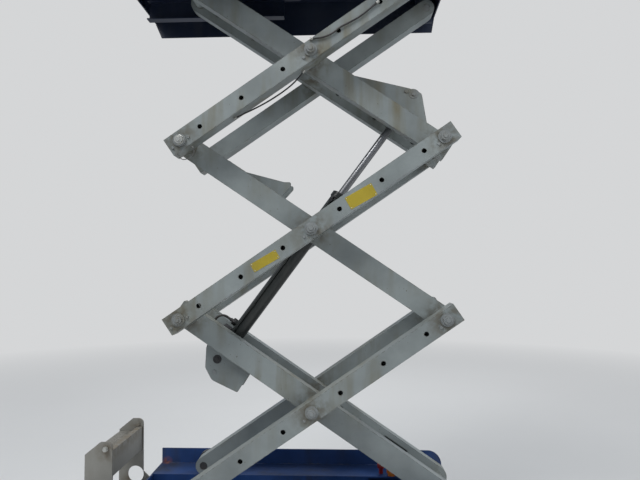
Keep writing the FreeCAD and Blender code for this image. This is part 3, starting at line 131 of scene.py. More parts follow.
def enamel(name, colour, under=PRIMER, chips=0.5, grime=0.35, gloss=0.42, mottle=0.10,
           stains=(), stain_reach=0.07, stain=(0.06, 0.05, 0.04), flat=(1.0, 0.0, 1.0),
           film=None, edge=0.0035):
    """Sprayed paint: cloudy shade, dirt that gathers in patches and runs down, dust on upper faces,
    chips along the edges and small nicks down to under, stains within stain_reach of some spots,
    and a fine orange-peel surface. film is the colour of dirt and dust, or mixed from the paint's
    own when it is left out. edge is how far from an edge the chips reach."""
    made, tree, surface, place = blank_material(name)
    light = tuple(min(1.0, c * (1 + mottle) + 0.01) for c in colour)
    dark = tuple(c * (1 - 1.6 * mottle) for c in colour)
    cloud = speckle(tree, place, 5.0)
    shade = blend_colour(tree, ramp(tree, cloud, 0.30, 0.72), dark, light)
    # dirt: streaks drawn out along Z, kept to cloudy patches
    runs = speckle(tree, place, 17.0, 4.0, (1.0, 1.0, 0.12))
    patch = speckle(tree, place, 2.3, 9.0)
    dirt = combined(tree, ramp(tree, runs, 0.45, 0.80), ramp(tree, patch, 0.42, 0.66))
    dirt = combined(tree, dirt, grime * 2.2)
    dull = film or tuple(0.55 * c + 0.30 * d for c, d in zip(colour, DUST))
    shade = blend_colour(tree, dirt, shade, dull)
    # dust: where the face looks up
    normal = shader(tree, "ShaderNodeNewGeometry").outputs["Normal"]
    upward = shader(tree, "ShaderNodeSeparateXYZ", {0: normal}).outputs[2]
    settled = combined(tree, ramp(tree, upward, 0.35, 0.95), ramp(tree, patch, 0.30, 0.62))
    settled = combined(tree, settled, grime * 0.75)
    shade = blend_colour(tree, settled, shade, film or tuple(0.55 * d for d in DUST))
    if stains:
        spread = near_spots(tree, place, stains, stain_reach, flat)
        spread = combined(tree, spread, ramp(tree, speckle(tree, place, 34.0, 5.0), 0.36, 0.62))
        shade = blend_colour(tree, combined(tree, spread, 0.75), shade, stain)
    # chips along edges, broken up by grain, and nicks at the peaks of a fine noise
    grain = speckle(tree, place, 62.0, 5.0)
    wear = combined(tree, edge_wear(tree, edge), ramp(tree, grain, 0.47, 0.60))
    wear = combined(tree, wear, chips)
    nick = combined(tree, ramp(tree, speckle(tree, place, 95.0, 2.0), 0.735, 0.755), chips)
    bare = combined(tree, wear, nick, "MAXIMUM")
    finish = blend_colour(tree, bare, shade, under)
    tree.links.new(finish, surface.inputs["Base Color"])
    rough = ramp(tree, patch, 0.30, 0.70, gloss - 0.07, gloss + 0.13)
    rough = combined(tree, rough, combined(tree, settled, 0.35), "ADD")
    tree.links.new(rough, surface.inputs["Roughness"])
    # orange peel, with the chips sunk into it
    peel = speckle(tree, place, 420.0, 2.0)
    chipped = combined(tree, peel, bare, "SUBTRACT")
    bump = shader(tree, "ShaderNodeBump",
                  {"Strength": 0.14, "Distance": 0.0006, "Height": chipped})
    tree.links.new(bump.outputs[0], surface.inputs["Normal"])
    return made


def dress(material, *nodes):
    """Gives CAD nodes their material."""
    for node in nodes:
        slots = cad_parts[node].data.materials
        slots.clear()
        slots.append(material)


def layered(rings, capped=True, looped=False):
    """Points and faces of a skin over rings, an array (rings, points, 3) whose points run round
    the way from one ring to the next anticlockwise. One face closes each end, or the last ring
    joins the first."""
    rows, columns = rings.shape[:2]
    here = np.arange(rows * columns).reshape(rows, columns)
    ahead = np.roll(here, -1, axis=0) if looped else here[1:]
    start = here if looped else here[:-1]
    quads = np.stack([start, np.roll(start, -1, axis=1), np.roll(ahead, -1, axis=1), ahead],
                     axis=-1).reshape(-1, 4)
    faces = quads.tolist()
    if capped and not looped:
        faces += [here[0][::-1].tolist(), here[-1].tolist()]
    return rings.reshape(-1, 3), faces


def joined(*forms):
    """Several sets of points and faces as one."""
    points = []
    faces = []
    count = 0
    for some, ones in forms:
        points.append(some)
        faces += [[corner + count for corner in face] for face in ones]
        count += len(some)
    return np.concatenate(points), faces


def piece(name, form, material, body, crease=35.0):
    """A mesh piece that rides on a CAD body, from points and faces. Edges that turn by more than
    crease degrees stay sharp."""
    points, faces = form
    mesh = bpy.data.meshes.new(name)
    mesh.from_pydata(points.tolist(), [], faces)
    mesh.polygons.foreach_set("use_smooth", [True] * len(faces))
    mesh.set_sharp_from_angle(angle=math.radians(crease))
    mesh.materials.append(material)
    thing = bpy.data.objects.new(name, mesh)
    bpy.context.scene.collection.objects.link(thing)
    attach(thing, body)
    return thing


def around(count):
    """Angles of count places round a full turn."""
    return np.arange(count) * 2 * math.pi / count


def bead(path, radius, pitch=0.004, looped=False):
    """A weld bead: eight points round each place of path (N, 3). Its radius swells and shrinks as
    a sine of the length run, one ripple each pitch."""
    if looped:
        step = np.roll(path, -1, axis=0) - np.roll(path, 1, axis=0)
    else:
        step = np.gradient(path, axis=0)
    along = step / np.linalg.norm(step, axis=1, keepdims=True)
    spare = np.where(np.abs(along[:, 1:2]) < 0.9, [[0.0, 1.0, 0.0]], [[0.0, 0.0, 1.0]])
    side = np.cross(along, spare)
    side /= np.linalg.norm(side, axis=1, keepdims=True)
    up = np.cross(along, side)
    length = np.concatenate([[0], np.cumsum(np.linalg.norm(np.diff(path, axis=0), axis=1))])
    ripple = radius * (1 + 0.16 * np.sin(2 * math.pi * length / pitch)
                       + 0.07 * np.sin(2 * math.pi * length / (7.3 * pitch)))
    angle = around(8)
    ring = side[:, None] * np.cos(angle)[:, None] + up[:, None] * np.sin(angle)[:, None]
    return layered(path[:, None] + ring * ripple[:, None, None], looped=looped)


def stitch(start, end, radius=0.003, gap=0.0018, pitch=0.004):
    """A straight weld bead, with its places about gap apart."""
    start = np.asarray(start, float)
    end = np.asarray(end, float)
    count = max(4, int(np.linalg.norm(end - start) / gap))
    return bead(start + (end - start) * np.linspace(0, 1, count)[:, None], radius, pitch)


def about_z(radius, height):
    """A skin round Z, from an array (rings, points) of radii and each ring's height."""
    angle = around(radius.shape[1])
    level = np.broadcast_to(height[:, None], radius.shape)
    return layered(np.stack([radius * np.cos(angle), radius * np.sin(angle), level], axis=-1))


def turned(profile, count=24):
    """A piece turned about its own Z, from rows of (radius, height)."""
    radius, height = np.asarray(profile, float).T
    return about_z(np.repeat(radius[:, None], count, axis=1), height)


def prism(profile, flats, count=24):
    """A prism about its own Z from rows of (corner radius, round limit, height). Its radius falls
    from a corner to the middle of a flat as the cosine of a flat's half angle over the cosine of
    the angle from the flat's middle. The round limit cuts the corners back. A row with FREE for
    one of the two is held by the other alone."""
    corner, limit, height = np.asarray(profile, float).T
    half = math.pi / flats
    reach = math.cos(half) / np.cos(np.mod(around(count), 2 * half) - half)
    return about_z(np.minimum(np.outer(corner, reach), limit[:, None]), height)


def socket_at(at, out, turn=0.0):
    """Where a form goes: three axes, the third along out, and the place, as four columns."""
    out = np.asarray(out, float) / np.linalg.norm(out)
    helper = np.array([0.0, 0.0, 1.0] if abs(out[2]) < 0.9 else [1.0, 0.0, 0.0])
    first = np.cross(helper, out)
    first /= np.linalg.norm(first)
    one = math.cos(turn) * first + math.sin(turn) * np.cross(out, first)
    return np.column_stack([one, np.cross(out, one), out, np.asarray(at, float)])


def stamped(form, sockets):
    """Copies of one form at several sockets."""
    points, faces = form
    return joined(*[(points @ at[:, :3].T + at[:, 3], faces) for at in sockets])


def facing_up(*places):
    """Sockets that face up at some places."""
    return [socket_at(at, (0, 0, 1)) for at in places]


def outward(y, spots, sides=SIDES):
    """Sockets that face out of the machine at y on its sides, from spots of (x, z, turn)."""
    return [socket_at((x, side * y, z), (0, side, 0), turn)
            for side in sides for x, z, turn in spots]


def bolt(across, stud=0.0):
    """A hexagon head across flats on a round washer, or a nut with a threaded end of length stud
    standing out of it."""
    flat = across / 2
    corner = across / math.sqrt(3)
    tall = 0.46 * across
    head = prism([(FREE, 1.25 * flat, -0.0004), (FREE, 1.25 * flat, 0.08 * across),
                  (FREE, 1.17 * flat, 0.10 * across), (corner, 1.03 * flat, 0.10 * across),
                  (corner, FREE, 0.15 * across), (corner, FREE, tall - 0.05 * across),
                  (corner, 1.02 * flat, tall), (FREE, 0.6 * flat, tall)], 6)
    if not stud:
        return head
    steps = np.arange(9)
    thread = 0.56 * flat - 0.0004 * (steps % 2) - 0.0012 * (steps == 8)
    return joined(head, turned(np.column_stack([thread, tall - 0.001 + stud * steps / 8])))


# The film here is near black: the chassis turns much darker in patches, most of all on the ledges
# and other faces that look up.
chassis_blue = enamel("chassis_blue", BLUE, chips=0.75, grime=0.85, gloss=0.36, mottle=0.18,
                      stains=((-0.665, 0.372, 0.456), (-0.69, -0.372, 0.456)), stain_reach=0.035,
                      stain=RUST, flat=(1.0, 1.0, 1.0), film=(0.030, 0.031, 0.036))
dress(chassis_blue, "chassis_frame", "pothole_guards", "side_tray_right", "side_tray_left")

# Welds and bolts of the chassis: stitches along the ledges, the webs and the feet of the front
# lugs, painted over with the plate, and zinc plated bolts through the rails and the front plate.
LEDGE_SEAM = RAIL_FACE - 0.009
WEB_SEAM = 0.209
LUG_SEAMS = (0.1405, 0.1635)
LUG_FOOT = 0.339
seams = []
for side in SIDES:
    seams += [stitch((x - 0.06, side * LEDGE_SEAM, LEDGE_TOP),
                     (x, side * LEDGE_SEAM, LEDGE_TOP), 0.0034)
              for x in np.arange(-0.60, 0.73, 0.16)]
    seams += [stitch((x, side * WEB_SEAM, 0.345), (x, side * WEB_SEAM, 0.44))
              for x in (-0.684, 0.446)]
    seams += [stitch((0.716, side * y, LUG_FOOT), (0.843, side * y, LUG_FOOT), 0.004)
              for y in LUG_SEAMS]
piece("chassis_welds", joined(*seams), chassis_blue, "chassis")


def metal(name, colour, rough, scratch, grain=30.0):
    """Bare or plated metal: fine scratches, cloudy brightness and dull patches."""
    made, tree, surface, place = blank_material(name)
    cloud = speckle(tree, place, grain)
    dark = tuple(c * 0.74 for c in colour)
    shade = blend_colour(tree, ramp(tree, cloud, 0.3, 0.7), dark, colour)
    film = ramp(tree, speckle(tree, place, 7.0, 8.0), 0.56, 0.74, 0.0, 0.7)
    tree.links.new(blend_colour(tree, film, shade, tuple(c * 0.45 for c in DUST)),
                   surface.inputs["Base Color"])
    surface.inputs["Metallic"].default_value = 0.92
    tree.links.new(ramp(tree, cloud, 0.25, 0.75, rough + 0.14, rough), surface.inputs["Roughness"])
    lines = speckle(tree, place, 160.0, 2.0, (0.1, 1.0, 1.0))
    bump = shader(tree, "ShaderNodeBump",
                  {"Strength": scratch, "Distance": 0.0003, "Height": lines})
    tree.links.new(bump.outputs[0], surface.inputs["Normal"])
    return made


zinc = metal("zinc", (0.60, 0.60, 0.56), 0.34, 0.2)
# No two heads are turned alike: TURN_RATE radians more for each metre along a row.
TURN_RATE = 9
FRONT_FACE = 0.866
RAIL_BOLTS = ((-0.64, 0.365), (-0.64, 0.495), (0.505, 0.365), (0.82, 0.365), (0.505, 0.495))
rail_bolts = outward(RAIL_FACE, [(x, z, TURN_RATE * x) for x, z in RAIL_BOLTS])
plate_bolts = [socket_at((FRONT_FACE, y, z), (1, 0, 0), TURN_RATE * y)
               for y in (-0.09, 0.0, 0.09) for z in (0.225, 0.305)]
piece("chassis_bolts", stamped(bolt(0.017), rail_bolts + plate_bolts), zinc, "chassis")


# Small fittings on the far ledge behind the front arms: a red pull knob for lowering by hand on
# its threaded neck, and an orange cap over a filler neck. Both are turned and moulded plastic.
def moulded(name, colour, rough=0.55, grain=260.0, dusty=0.25):
    """Moulded plastic or rubber: a fine pebbled grain, a slight change of sheen and some dust."""
    made, tree, surface, place = blank_material(name)
    cloud = speckle(tree, place, 9.0)
    shade = blend_colour(tree, cloud, tuple(c * 0.82 for c in colour),
                         tuple(c * 1.18 + 0.004 for c in colour))
    film = ramp(tree, speckle(tree, place, 3.4, 9.0), 0.44, 0.72, 0.0, dusty)
    tree.links.new(blend_colour(tree, film, shade, DUST), surface.inputs["Base Color"])
    tree.links.new(ramp(tree, cloud, 0.3, 0.7, rough - 0.08, rough + 0.08),
                   surface.inputs["Roughness"])
    bump = shader(tree, "ShaderNodeBump", {"Strength": 0.25, "Distance": 0.0004,
                                           "Height": speckle(tree, place, grain, 3.0)})
    tree.links.new(bump.outputs[0], surface.inputs["Normal"])
    return made


signal_red = moulded("signal_red", (0.40, 0.018, 0.012), rough=0.4)
filler_orange = moulded("filler_orange", (0.80, 0.22, 0.02), rough=0.4, dusty=0.1)
knob = turned([(0.011, -0.001), (0.011, 0.022), (0.012, 0.024), (0.018, 0.028), (0.0195, 0.034),
               (0.0195, 0.042), (0.017, 0.049), (0.010, 0.053), (0.004, 0.054)], 32)
cap = prism([(0.020, FREE, -0.001), (0.020, FREE, 0.012), (0.026, 0.0252, 0.013),
             (0.026, 0.0252, 0.028), (0.024, FREE, 0.031), (0.012, FREE, 0.032)], 12, 48)
for name, form, x, y, finish in (("lowering_knob", knob, 0.525, 0.250, signal_red),
                                 ("filler_cap", cap, 0.578, 0.222, filler_orange)):
    piece(name, stamped(form, facing_up((x, y, LEDGE_TOP))), finish, "chassis")

# Axles, steering knuckles and tie rod: welded and machined steel under black enamel, dusty from
# the ground. The kingpins and the rod's eyes end in nuts, a kingpin's with a grease nipple on it.
axle_black = enamel("axle_black", (0.022, 0.022, 0.024), chips=0.4, grime=0.6, gloss=0.5)
dress(axle_black, "rear_axle", "front_axle", "steering_knuckle_right", "steering_knuckle_left",
      "tie_rod")
HANDS = ((-1, "right"), (1, "left"))
STEER_X = 0.676
KINGPIN_Y = 0.240
KINGPIN_TOP = 0.2199
NUT_TALL = 0.0114
TIE_ROD_X = STEER_X - 0.06
TIE_ROD_TOP = 0.1279
nipple = turned([(0.0045, -0.001), (0.0045, 0.003), (0.0028, 0.004), (0.0028, 0.007),
                 (0.0036, 0.0085), (0.0036, 0.010), (0.002, 0.0115)], 12)
for side, word in HANDS:
    crown = facing_up((STEER_X, side * KINGPIN_Y, KINGPIN_TOP))
    tip = facing_up((STEER_X, side * KINGPIN_Y, KINGPIN_TOP + NUT_TALL))
    piece(f"kingpin_nut_{word}", joined(stamped(bolt(0.026), crown), stamped(nipple, tip)),
          zinc, f"knuckle_{word}")
rod_ends = facing_up(*[(TIE_ROD_X, side * KINGPIN_Y, TIE_ROD_TOP) for side in SIDES])
piece("tie_rod_nuts", stamped(bolt(0.019, 0.005), rod_ends), zinc, "tie_rod")

# Units in the trays: batteries on the right and the pump unit on the left. Both are black moulded
# blocks that stand on a tray's floor and swing out with it.
unit_black = moulded("unit_black", (0.02, 0.02, 0.021))
dress(unit_black, "battery_block", "hydraulic_unit")

# Tray doors: louvres pressed out of the tray's outer sheet over the units, and a round quarter-turn
# latch of plated steel set in near the front edge.
DOOR_FACE = RAIL_FACE
LOUVRE_X = (-0.21, -0.07, 0.07, 0.21)
LOUVRE_Z = (0.155, 0.180, 0.205, 0.230, 0.255)
LATCH_X = 0.401
LATCH_Z = 0.255


def rounded(wide, tall, corner, steps=5):
    """The outline of a rectangle with round corners: a quarter circle about each corner's centre,
    anticlockwise. Also gives the way out at each point."""
    quarter = np.repeat(np.arange(4), steps)
    angle = quarter * math.pi / 2 + np.tile(np.linspace(0, math.pi / 2, steps), 4)
    out = np.stack([np.cos(angle), np.sin(angle)], axis=-1)
    right = np.where((quarter == 0) | (quarter == 3), 1.0, -1.0)
    upper = np.where(quarter < 2, 1.0, -1.0)
    centre = np.stack([right * (wide / 2 - corner), upper * (tall / 2 - corner)], axis=-1)
    return centre + corner * out, out


def slab(wide, tall, thick, corner=0.004, soft=0.0006):
    """A plate with round corners and softened edges in its own XY plane, up to thick."""
    outline, out = rounded(wide, tall, corner)
    rings = [np.column_stack([outline - cut * out, np.full(len(outline), z)])
             for cut, z in ((soft, -0.0004), (0.0, soft), (0.0, thick - soft), (soft, thick))]
    return layered(np.stack(rings))


def louvre(wide, tall, rise):
    """A pressed louvre: outlines that shrink and move down as they rise from the sheet, so that
    the lower side is steep and the upper one slopes."""
    rings = []
    for share in (0.0, 0.35, 0.75, 1.0):
        outline, _ = rounded(wide - 0.010 * share, tall * (1 - 0.62 * share), tall * 0.18)
        shift = -0.30 * tall * share
        height = rise * math.sin(share * math.pi / 2) - 0.0003
        rings.append(np.column_stack([outline[:, 0], outline[:, 1] + shift,
                                      np.full(len(outline), height)]))
    return layered(np.stack(rings))


latch = turned([(0.017, -0.0003), (0.017, 0.0015), (0.0155, 0.0025), (0.011, 0.0025),
                (0.0105, 0.0012), (0.0075, 0.0012), (0.0075, 0.0035), (0.006, 0.004)])
for side, word in HANDS:
    places = outward(DOOR_FACE, [(x, z, 0.0) for x in LOUVRE_X for z in LOUVRE_Z], (side,))
    piece(f"tray_louvres_{word}", stamped(louvre(0.11, 0.017, 0.005), places), chassis_blue,
          f"tray_{word}")
    place = outward(DOOR_FACE, [(LATCH_X, LATCH_Z, 0.0)], (side,))
    piece(f"tray_latch_{word}", stamped(latch, place), zinc, f"tray_{word}")

# Wheels: pressed steel rims in off-white enamel, held by five nuts, with a domed cap over the
# spindle's end. The solid tyres are grey rubber, with a groove round the middle and notched edges.
REAR_AXLE_X = -0.624
WHEELS = ((STEER_X, -1, "front_right"), (STEER_X, 1, "front_left"),
          (REAR_AXLE_X, -1, "rear_right"), (REAR_AXLE_X, 1, "rear_left"))
WHEEL_Z = 0.16
TYRE_OUT = 0.378
TYRE_WIDE = 0.114
NOTCH_DEEP = 0.0045
WEB_FACE = 0.354
CAP_SEAT = 0.366
NUT_CIRCLE = 0.078
rim_white = enamel("rim_white", (0.50, 0.50, 0.47), chips=0.5, grime=0.9, gloss=0.4)
tyre_grey = moulded("tyre_grey", (0.20, 0.205, 0.205), rough=0.78, grain=140.0, dusty=0.5)


def tyre(x, side, notches=24, count=144):
    """A ring of tread sections about the wheel's axle. Half a section has rows of (place across,
    radius, share of a notch's depth) and its mirror image is the other half. At a notch, which
    takes up two sections in every count / notches, the radius falls by that share."""
    half = np.array([(0.004, 0.1152, 0), (0.0, 0.123, 0), (0.0, 0.143, 0), (0.0018, 0.150, 1),
                     (0.006, 0.1555, 1), (0.012, 0.1592, 1), (0.026, 0.160, 0.7),
                     (0.034, 0.160, 0), (0.053, 0.160, 0), (0.0545, 0.1575, 0)])
    section = np.concatenate([half, half[::-1] * (-1, 1, 1) + (TYRE_WIDE, 0, 0)])
    angle = around(count)
    notch = NOTCH_DEEP * (np.mod(np.arange(count), count // notches) < 2)
    radius = section[:, 1] - section[:, 2] * notch[:, None]
    across = TYRE_OUT - TYRE_WIDE + section[:, 0]
    order = slice(None) if side > 0 else slice(None, None, -1)
    rings = np.stack([x + radius * np.sin(angle)[:, None],
                      np.broadcast_to(side * across, radius.shape),
                      WHEEL_Z + radius * np.cos(angle)[:, None]], axis=-1)
    return layered(rings[:, order], looped=True)


dome = turned([(0.0292, -0.004), (0.0292, 0.0), (0.028, 0.003), (0.022, 0.0055), (0.012, 0.007),
               (0.004, 0.0073)], 32)
for x, side, word in WHEELS:
    dress(rim_white, f"rim_{word}")
    tread = piece(f"tread_{word}", tyre(x, side), tyre_grey, f"wheel_{word}", crease=28.0)
    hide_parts(f"tyre_{word}")
    spots = [(x + NUT_CIRCLE * math.sin(angle), WHEEL_Z + NUT_CIRCLE * math.cos(angle), angle)
             for angle in around(5)]
    fasteners = joined(stamped(bolt(0.019, 0.006), outward(WEB_FACE, spots, (side,))),
                       stamped(dome, outward(CAP_SEAT, [(x, WHEEL_Z, 0.0)], (side,))))
    piece(f"wheel_nuts_{word}", fasteners, zinc, f"wheel_{word}")

# Step frame at the rear: two plates with ears and three folded treads, in warm grey enamel. The
# treads carry pressed buttons for grip, and four bolts a side hold the frame to the chassis.
step_grey = enamel("step_grey", (0.235, 0.230, 0.205), chips=0.6, grime=0.7, gloss=0.48,
                   stains=((-0.766, 0.0, 0.70), (-0.80, 0.0, 0.42)), stain_reach=0.06,
                   stain=(0.14, 0.11, 0.07))
dress(step_grey, "rear_step")
button = turned([(0.0062, -0.0003), (0.0055, 0.001), (0.004, 0.0016), (0.002, 0.0012)], 12)
TREAD_TOPS = (0.136, 0.408, 0.680)
BUTTON_ROWS = (-0.850, -0.832, -0.814, -0.796)
STEP_FACE = 0.2
STEP_BOLT_X = -0.712
EAR_FACE = 0.2089
grips = facing_up(*[(x, y, z) for z in TREAD_TOPS for x in BUTTON_ROWS
                    for y in np.linspace(-0.168, 0.168, 15)])
piece("tread_grip", stamped(button, grips), step_grey, "chassis")
frame_bolts = outward(STEP_FACE, [(STEP_BOLT_X, z, TURN_RATE * z)
                                  for z in (0.135, 0.215, 0.300, 0.380)])
ear_bolts = outward(EAR_FACE, [(-0.766, 0.717, 0.0)])
piece("step_bolts", joined(stamped(bolt(0.017), frame_bolts), stamped(bolt(0.020), ear_bolts)),
      zinc, "chassis")

# Ground control: a moulded box of dark grey plastic with a key boss and a stop button on its inner
# face. It is screwed to the inside of the left side plate, under the ledge.
box_grey = moulded("box_grey", (0.045, 0.046, 0.048))
dress(box_grey, "ground_control")

# Scissor arms: rectangular steel tubes, the inner pair of each level joined by torque tubes and
# carrying the plates for the lift cylinder. Pale grey enamel, greasy round the pins.
MIDDLE_X = 0.18737
REAR_X = -0.41226
FRONT_X = 0.787
SLOPE = math.radians(34.2)
BASE_Z = 0.5
LEVEL_RISE = 0.815024
LEVELS = {steps: BASE_Z + LEVEL_RISE * steps for steps in (0, 0.5, 1, 1.5, 2, 2.5, 3)}
PIN_SPOTS = [(MIDDLE_X, 0.0, LEVELS[steps]) for steps in (0.5, 1.5, 2.5)]
PIN_SPOTS += [(x, 0.0, LEVELS[steps]) for steps in (1, 2) for x in (REAR_X, FRONT_X)]
INNER_FACE = 0.134
OUTER_FACE = 0.275
OUTER_BACK = 0.190
BORE_SIDE = 0.079
BOSS_RADIUS = 0.0362
TUBE_RADIUS = 0.0302


def on_inner(steps, x, y, z):
    """A place on an inner arm, x along it from its centre pin and z across it, at rest."""
    return (MIDDLE_X + x * math.cos(SLOPE) + z * math.sin(SLOPE), y,
            LEVELS[steps] - x * math.sin(SLOPE) + z * math.cos(SLOPE))


def on_outer(steps, x, y, z):
    """A place on an outer arm, x along it from its centre pin and z across it, at rest."""
    return (MIDDLE_X + x * math.cos(SLOPE) - z * math.sin(SLOPE), y,
            LEVELS[steps] + x * math.sin(SLOPE) + z * math.cos(SLOPE))


def ring(at, radius, count=96):
    """Places round a circle that faces across the machine."""
    angle = around(count)
    circle = np.stack([radius * np.sin(angle), 0 * angle, radius * np.cos(angle)], axis=-1)
    return np.asarray(at, float) + circle


arm_grey = enamel("arm_grey", (0.238, 0.266, 0.263), under=(0.085, 0.066, 0.045), chips=0.85,
                  grime=0.62, gloss=0.36, mottle=0.15, stains=PIN_SPOTS,
                  stain_reach=0.115, stain=(0.082, 0.062, 0.030), film=(0.150, 0.140, 0.095),
                  edge=0.0065)
dress(arm_grey, *[f"{kind}_{number}" for kind in ("inner_frame", "outer_arms")
                  for number in (1, 2, 3)])
# For each level: where its bosses and cross tubes are, by x and level, and which stretches of the
# tubes' edges carry the cylinder's plates, by start and end along the arm, z and y.
BOSSES = {1: ((MIDDLE_X, 0.5), (REAR_X, 1)),
          2: ((MIDDLE_X, 1.5), (REAR_X, 2), (FRONT_X, 1)),
          3: ((MIDDLE_X, 2.5), (FRONT_X, 2))}
TUBES = {1: ((REAR_X, 1), (FRONT_X, 0)), 2: ((REAR_X, 2), (FRONT_X, 1)),
         3: ((REAR_X, 3), (FRONT_X, 2))}
PLATE_EDGES = {1: (-0.584, -0.332, -0.0535, 0.0805), 2: (-0.54, -0.24, 0.0535, 0.0765),
               3: (0.14, 0.640, 0.0535, 0.0805)}
for number in (1, 2, 3):
    seams = []
    for side in SIDES:
        for y, radius, places in ((INNER_FACE + 0.001, BOSS_RADIUS, BOSSES[number]),
                                  (BORE_SIDE - 0.001, TUBE_RADIUS, TUBES[number])):
            seams += [bead(ring((x, side * y, LEVELS[steps]), radius), 0.0032, looped=True)
                      for x, steps in places]
        start, end, z, y = PLATE_EDGES[number]
        seams.append(stitch(on_inner(number - 0.5, start, side * y, z),
                            on_inner(number - 0.5, end, side * y, z), 0.0034))
    piece(f"inner_welds_{number}", joined(*seams), arm_grey, f"inner_{number}")

# Sleeves on the ends of the middle outer arms: a second skin of sheet, whose edge shows as a thin
# painted seam round the tube.
SLEEVE_EDGE = -0.609
OUTER_HALF = 0.043
loops = []
for side in SIDES:
    corners = ((OUTER_FACE, OUTER_HALF), (OUTER_FACE, -OUTER_HALF), (OUTER_BACK, -OUTER_HALF),
               (OUTER_BACK, OUTER_HALF), (OUTER_FACE, OUTER_HALF))
    for (y, z), (next_y, next_z) in zip(corners, corners[1:]):
        loops.append(stitch(on_outer(1.5, SLEEVE_EDGE, side * y, z),
                            on_outer(1.5, SLEEVE_EDGE, side * next_y, next_z),
                            0.0011, gap=0.004, pitch=0.05))
piece("sleeve_seams", joined(*loops), arm_grey, "outer_2")

# Yellow plates on the near middle outer arm: thin enamelled aluminium sheet, left blank, riveted
# at the corners and following the arm's slope.
plate_yellow = enamel("plate_yellow", (0.38, 0.29, 0.018), under=(0.30, 0.29, 0.24), chips=0.5,
                      grime=0.55, gloss=0.36, mottle=0.12)
rivet = turned([(0.0024, -0.0003), (0.0024, 0.0004), (0.0018, 0.001), (0.0007, 0.0013)], 12)
SHEET_THICK = 0.0011
INSET = 0.006
sheets = []
rivets = []
for along, across, wide, tall, lean in ((0.266, -0.008, 0.136, 0.060, -5.0),
                                        (-0.254, -0.003, 0.132, 0.042, -4.0)):
    turn = SLOPE + math.radians(lean)
    here = socket_at(on_outer(1.5, along, -OUTER_FACE, across), (0, -1, 0), turn)
    sheets.append(stamped(slab(wide, tall, SHEET_THICK, corner=0.003, soft=0.0002), [here]))
    for x in (INSET - wide / 2, wide / 2 - INSET):
        for z in (INSET - tall / 2, tall / 2 - INSET):
            corner = here[:, :3] @ (x, z, SHEET_THICK)
            rivets.append(np.column_stack([here[:, :3], here[:, 3] + corner]))
piece("blank_plates", joined(*sheets), plate_yellow, "outer_2")
piece("plate_rivets", stamped(rivet, rivets), zinc, "outer_2")

# Arm pins: ground steel bars, sprayed with the arms, with a washer plate and a nut on its stud at
# each end. The nuts of the second level's rear pin are newer and bright. A small bolt in the outer
# arm beside each head keeps the pin from turning.
pin_grey = enamel("pin_grey", (0.230, 0.246, 0.246), under=(0.11, 0.080, 0.04), chips=0.8,
                  grime=0.7, gloss=0.32, film=(0.135, 0.120, 0.075))
dress(pin_grey, "arm_pins_1", "arm_pins_2", "arm_pins_3", "base_pins", "top_pins")
WASHER_FACE = 0.283
HEADS = (("1", pin_grey, ((MIDDLE_X, 0.5), (REAR_X, 1))),
         ("2", pin_grey, ((MIDDLE_X, 1.5), (FRONT_X, 1))),
         ("2b", zinc, ((REAR_X, 2),)),
         ("3", pin_grey, ((MIDDLE_X, 2.5), (FRONT_X, 2))))
for word, finish, places in HEADS:
    spots = [(x, LEVELS[steps], x + 2.1 * steps) for x, steps in places]
    piece(f"pin_nuts_{word}", stamped(bolt(0.037, 0.006), outward(WASHER_FACE, spots)), finish,
          f"inner_{word[0]}")
KEEPERS = {1: (-0.047, 0.684), 2: (-0.770, -0.684, -0.047, 0.684), 3: (-0.770, -0.684, -0.047)}
KEEPER_Z = -0.012
for number, places in KEEPERS.items():
    spots = [(*on_outer(number - 0.5, x, 0.0, KEEPER_Z)[::2], 5 * x) for x in places]
    piece(f"keeper_bolts_{number}", stamped(bolt(0.012), outward(OUTER_FACE, spots)), pin_grey,
          f"outer_{number}")
for word, y, steps, body in (("base", 0.1679, 0, "chassis"), ("top", 0.3089, 3, "platform")):
    place = outward(y, [(FRONT_X, LEVELS[steps], 0.3)])
    piece(f"{word}_pin_bolts", stamped(bolt(0.030), place), zinc, body)

# Slide rollers: black nylon wheels on the arms' rear ends, which run on the chassis's ledges and in
# the platform's tracks. A zinc plated bolt on a washer holds each one.
roller_nylon = moulded("roller_nylon", (0.05, 0.05, 0.05), rough=0.45)
dress(roller_nylon, "base_rollers", "top_rollers")
for word, y, steps, body in (("base", 0.3138, 0, "outer_1"), ("top", 0.1728, 3, "inner_3")):
    place = outward(y, [(REAR_X, LEVELS[steps], 0.5)])
    piece(f"{word}_roller_bolts", stamped(bolt(0.028), place), zinc, body)

# Cables on the near upper outer arm: a black cable clipped along its face, a second one that hangs
# in a shallow sag under the arm, and a thin grey wire looped under the arm's rear end.
cable_black = moulded("cable_black", (0.012, 0.012, 0.013), rough=0.42, grain=700.0)
wire_grey = moulded("wire_grey", (0.16, 0.16, 0.155), rough=0.4, grain=900.0, dusty=0.1)
clip_zinc = metal("clip_zinc", (0.50, 0.50, 0.47), 0.4, 0.2)
dress(cable_black, "arm_cable")
dress(clip_zinc, "cable_clips")
HANG_Y = -0.2325
SLACK_ROUTE = ((-0.452, -0.049), (-0.416, -0.054), (-0.370, -0.062), (-0.318, -0.069),
               (-0.264, -0.073), (-0.210, -0.074), (-0.160, -0.071), (-0.118, -0.063),
               (-0.084, -0.052))
WIRE_ROUTE = ((-0.774, -0.052), (-0.773, -0.063), (-0.763, -0.073), (-0.748, -0.078),
              (-0.731, -0.079), (-0.714, -0.076), (-0.703, -0.067), (-0.701, -0.056),
              (-0.700, -0.050))


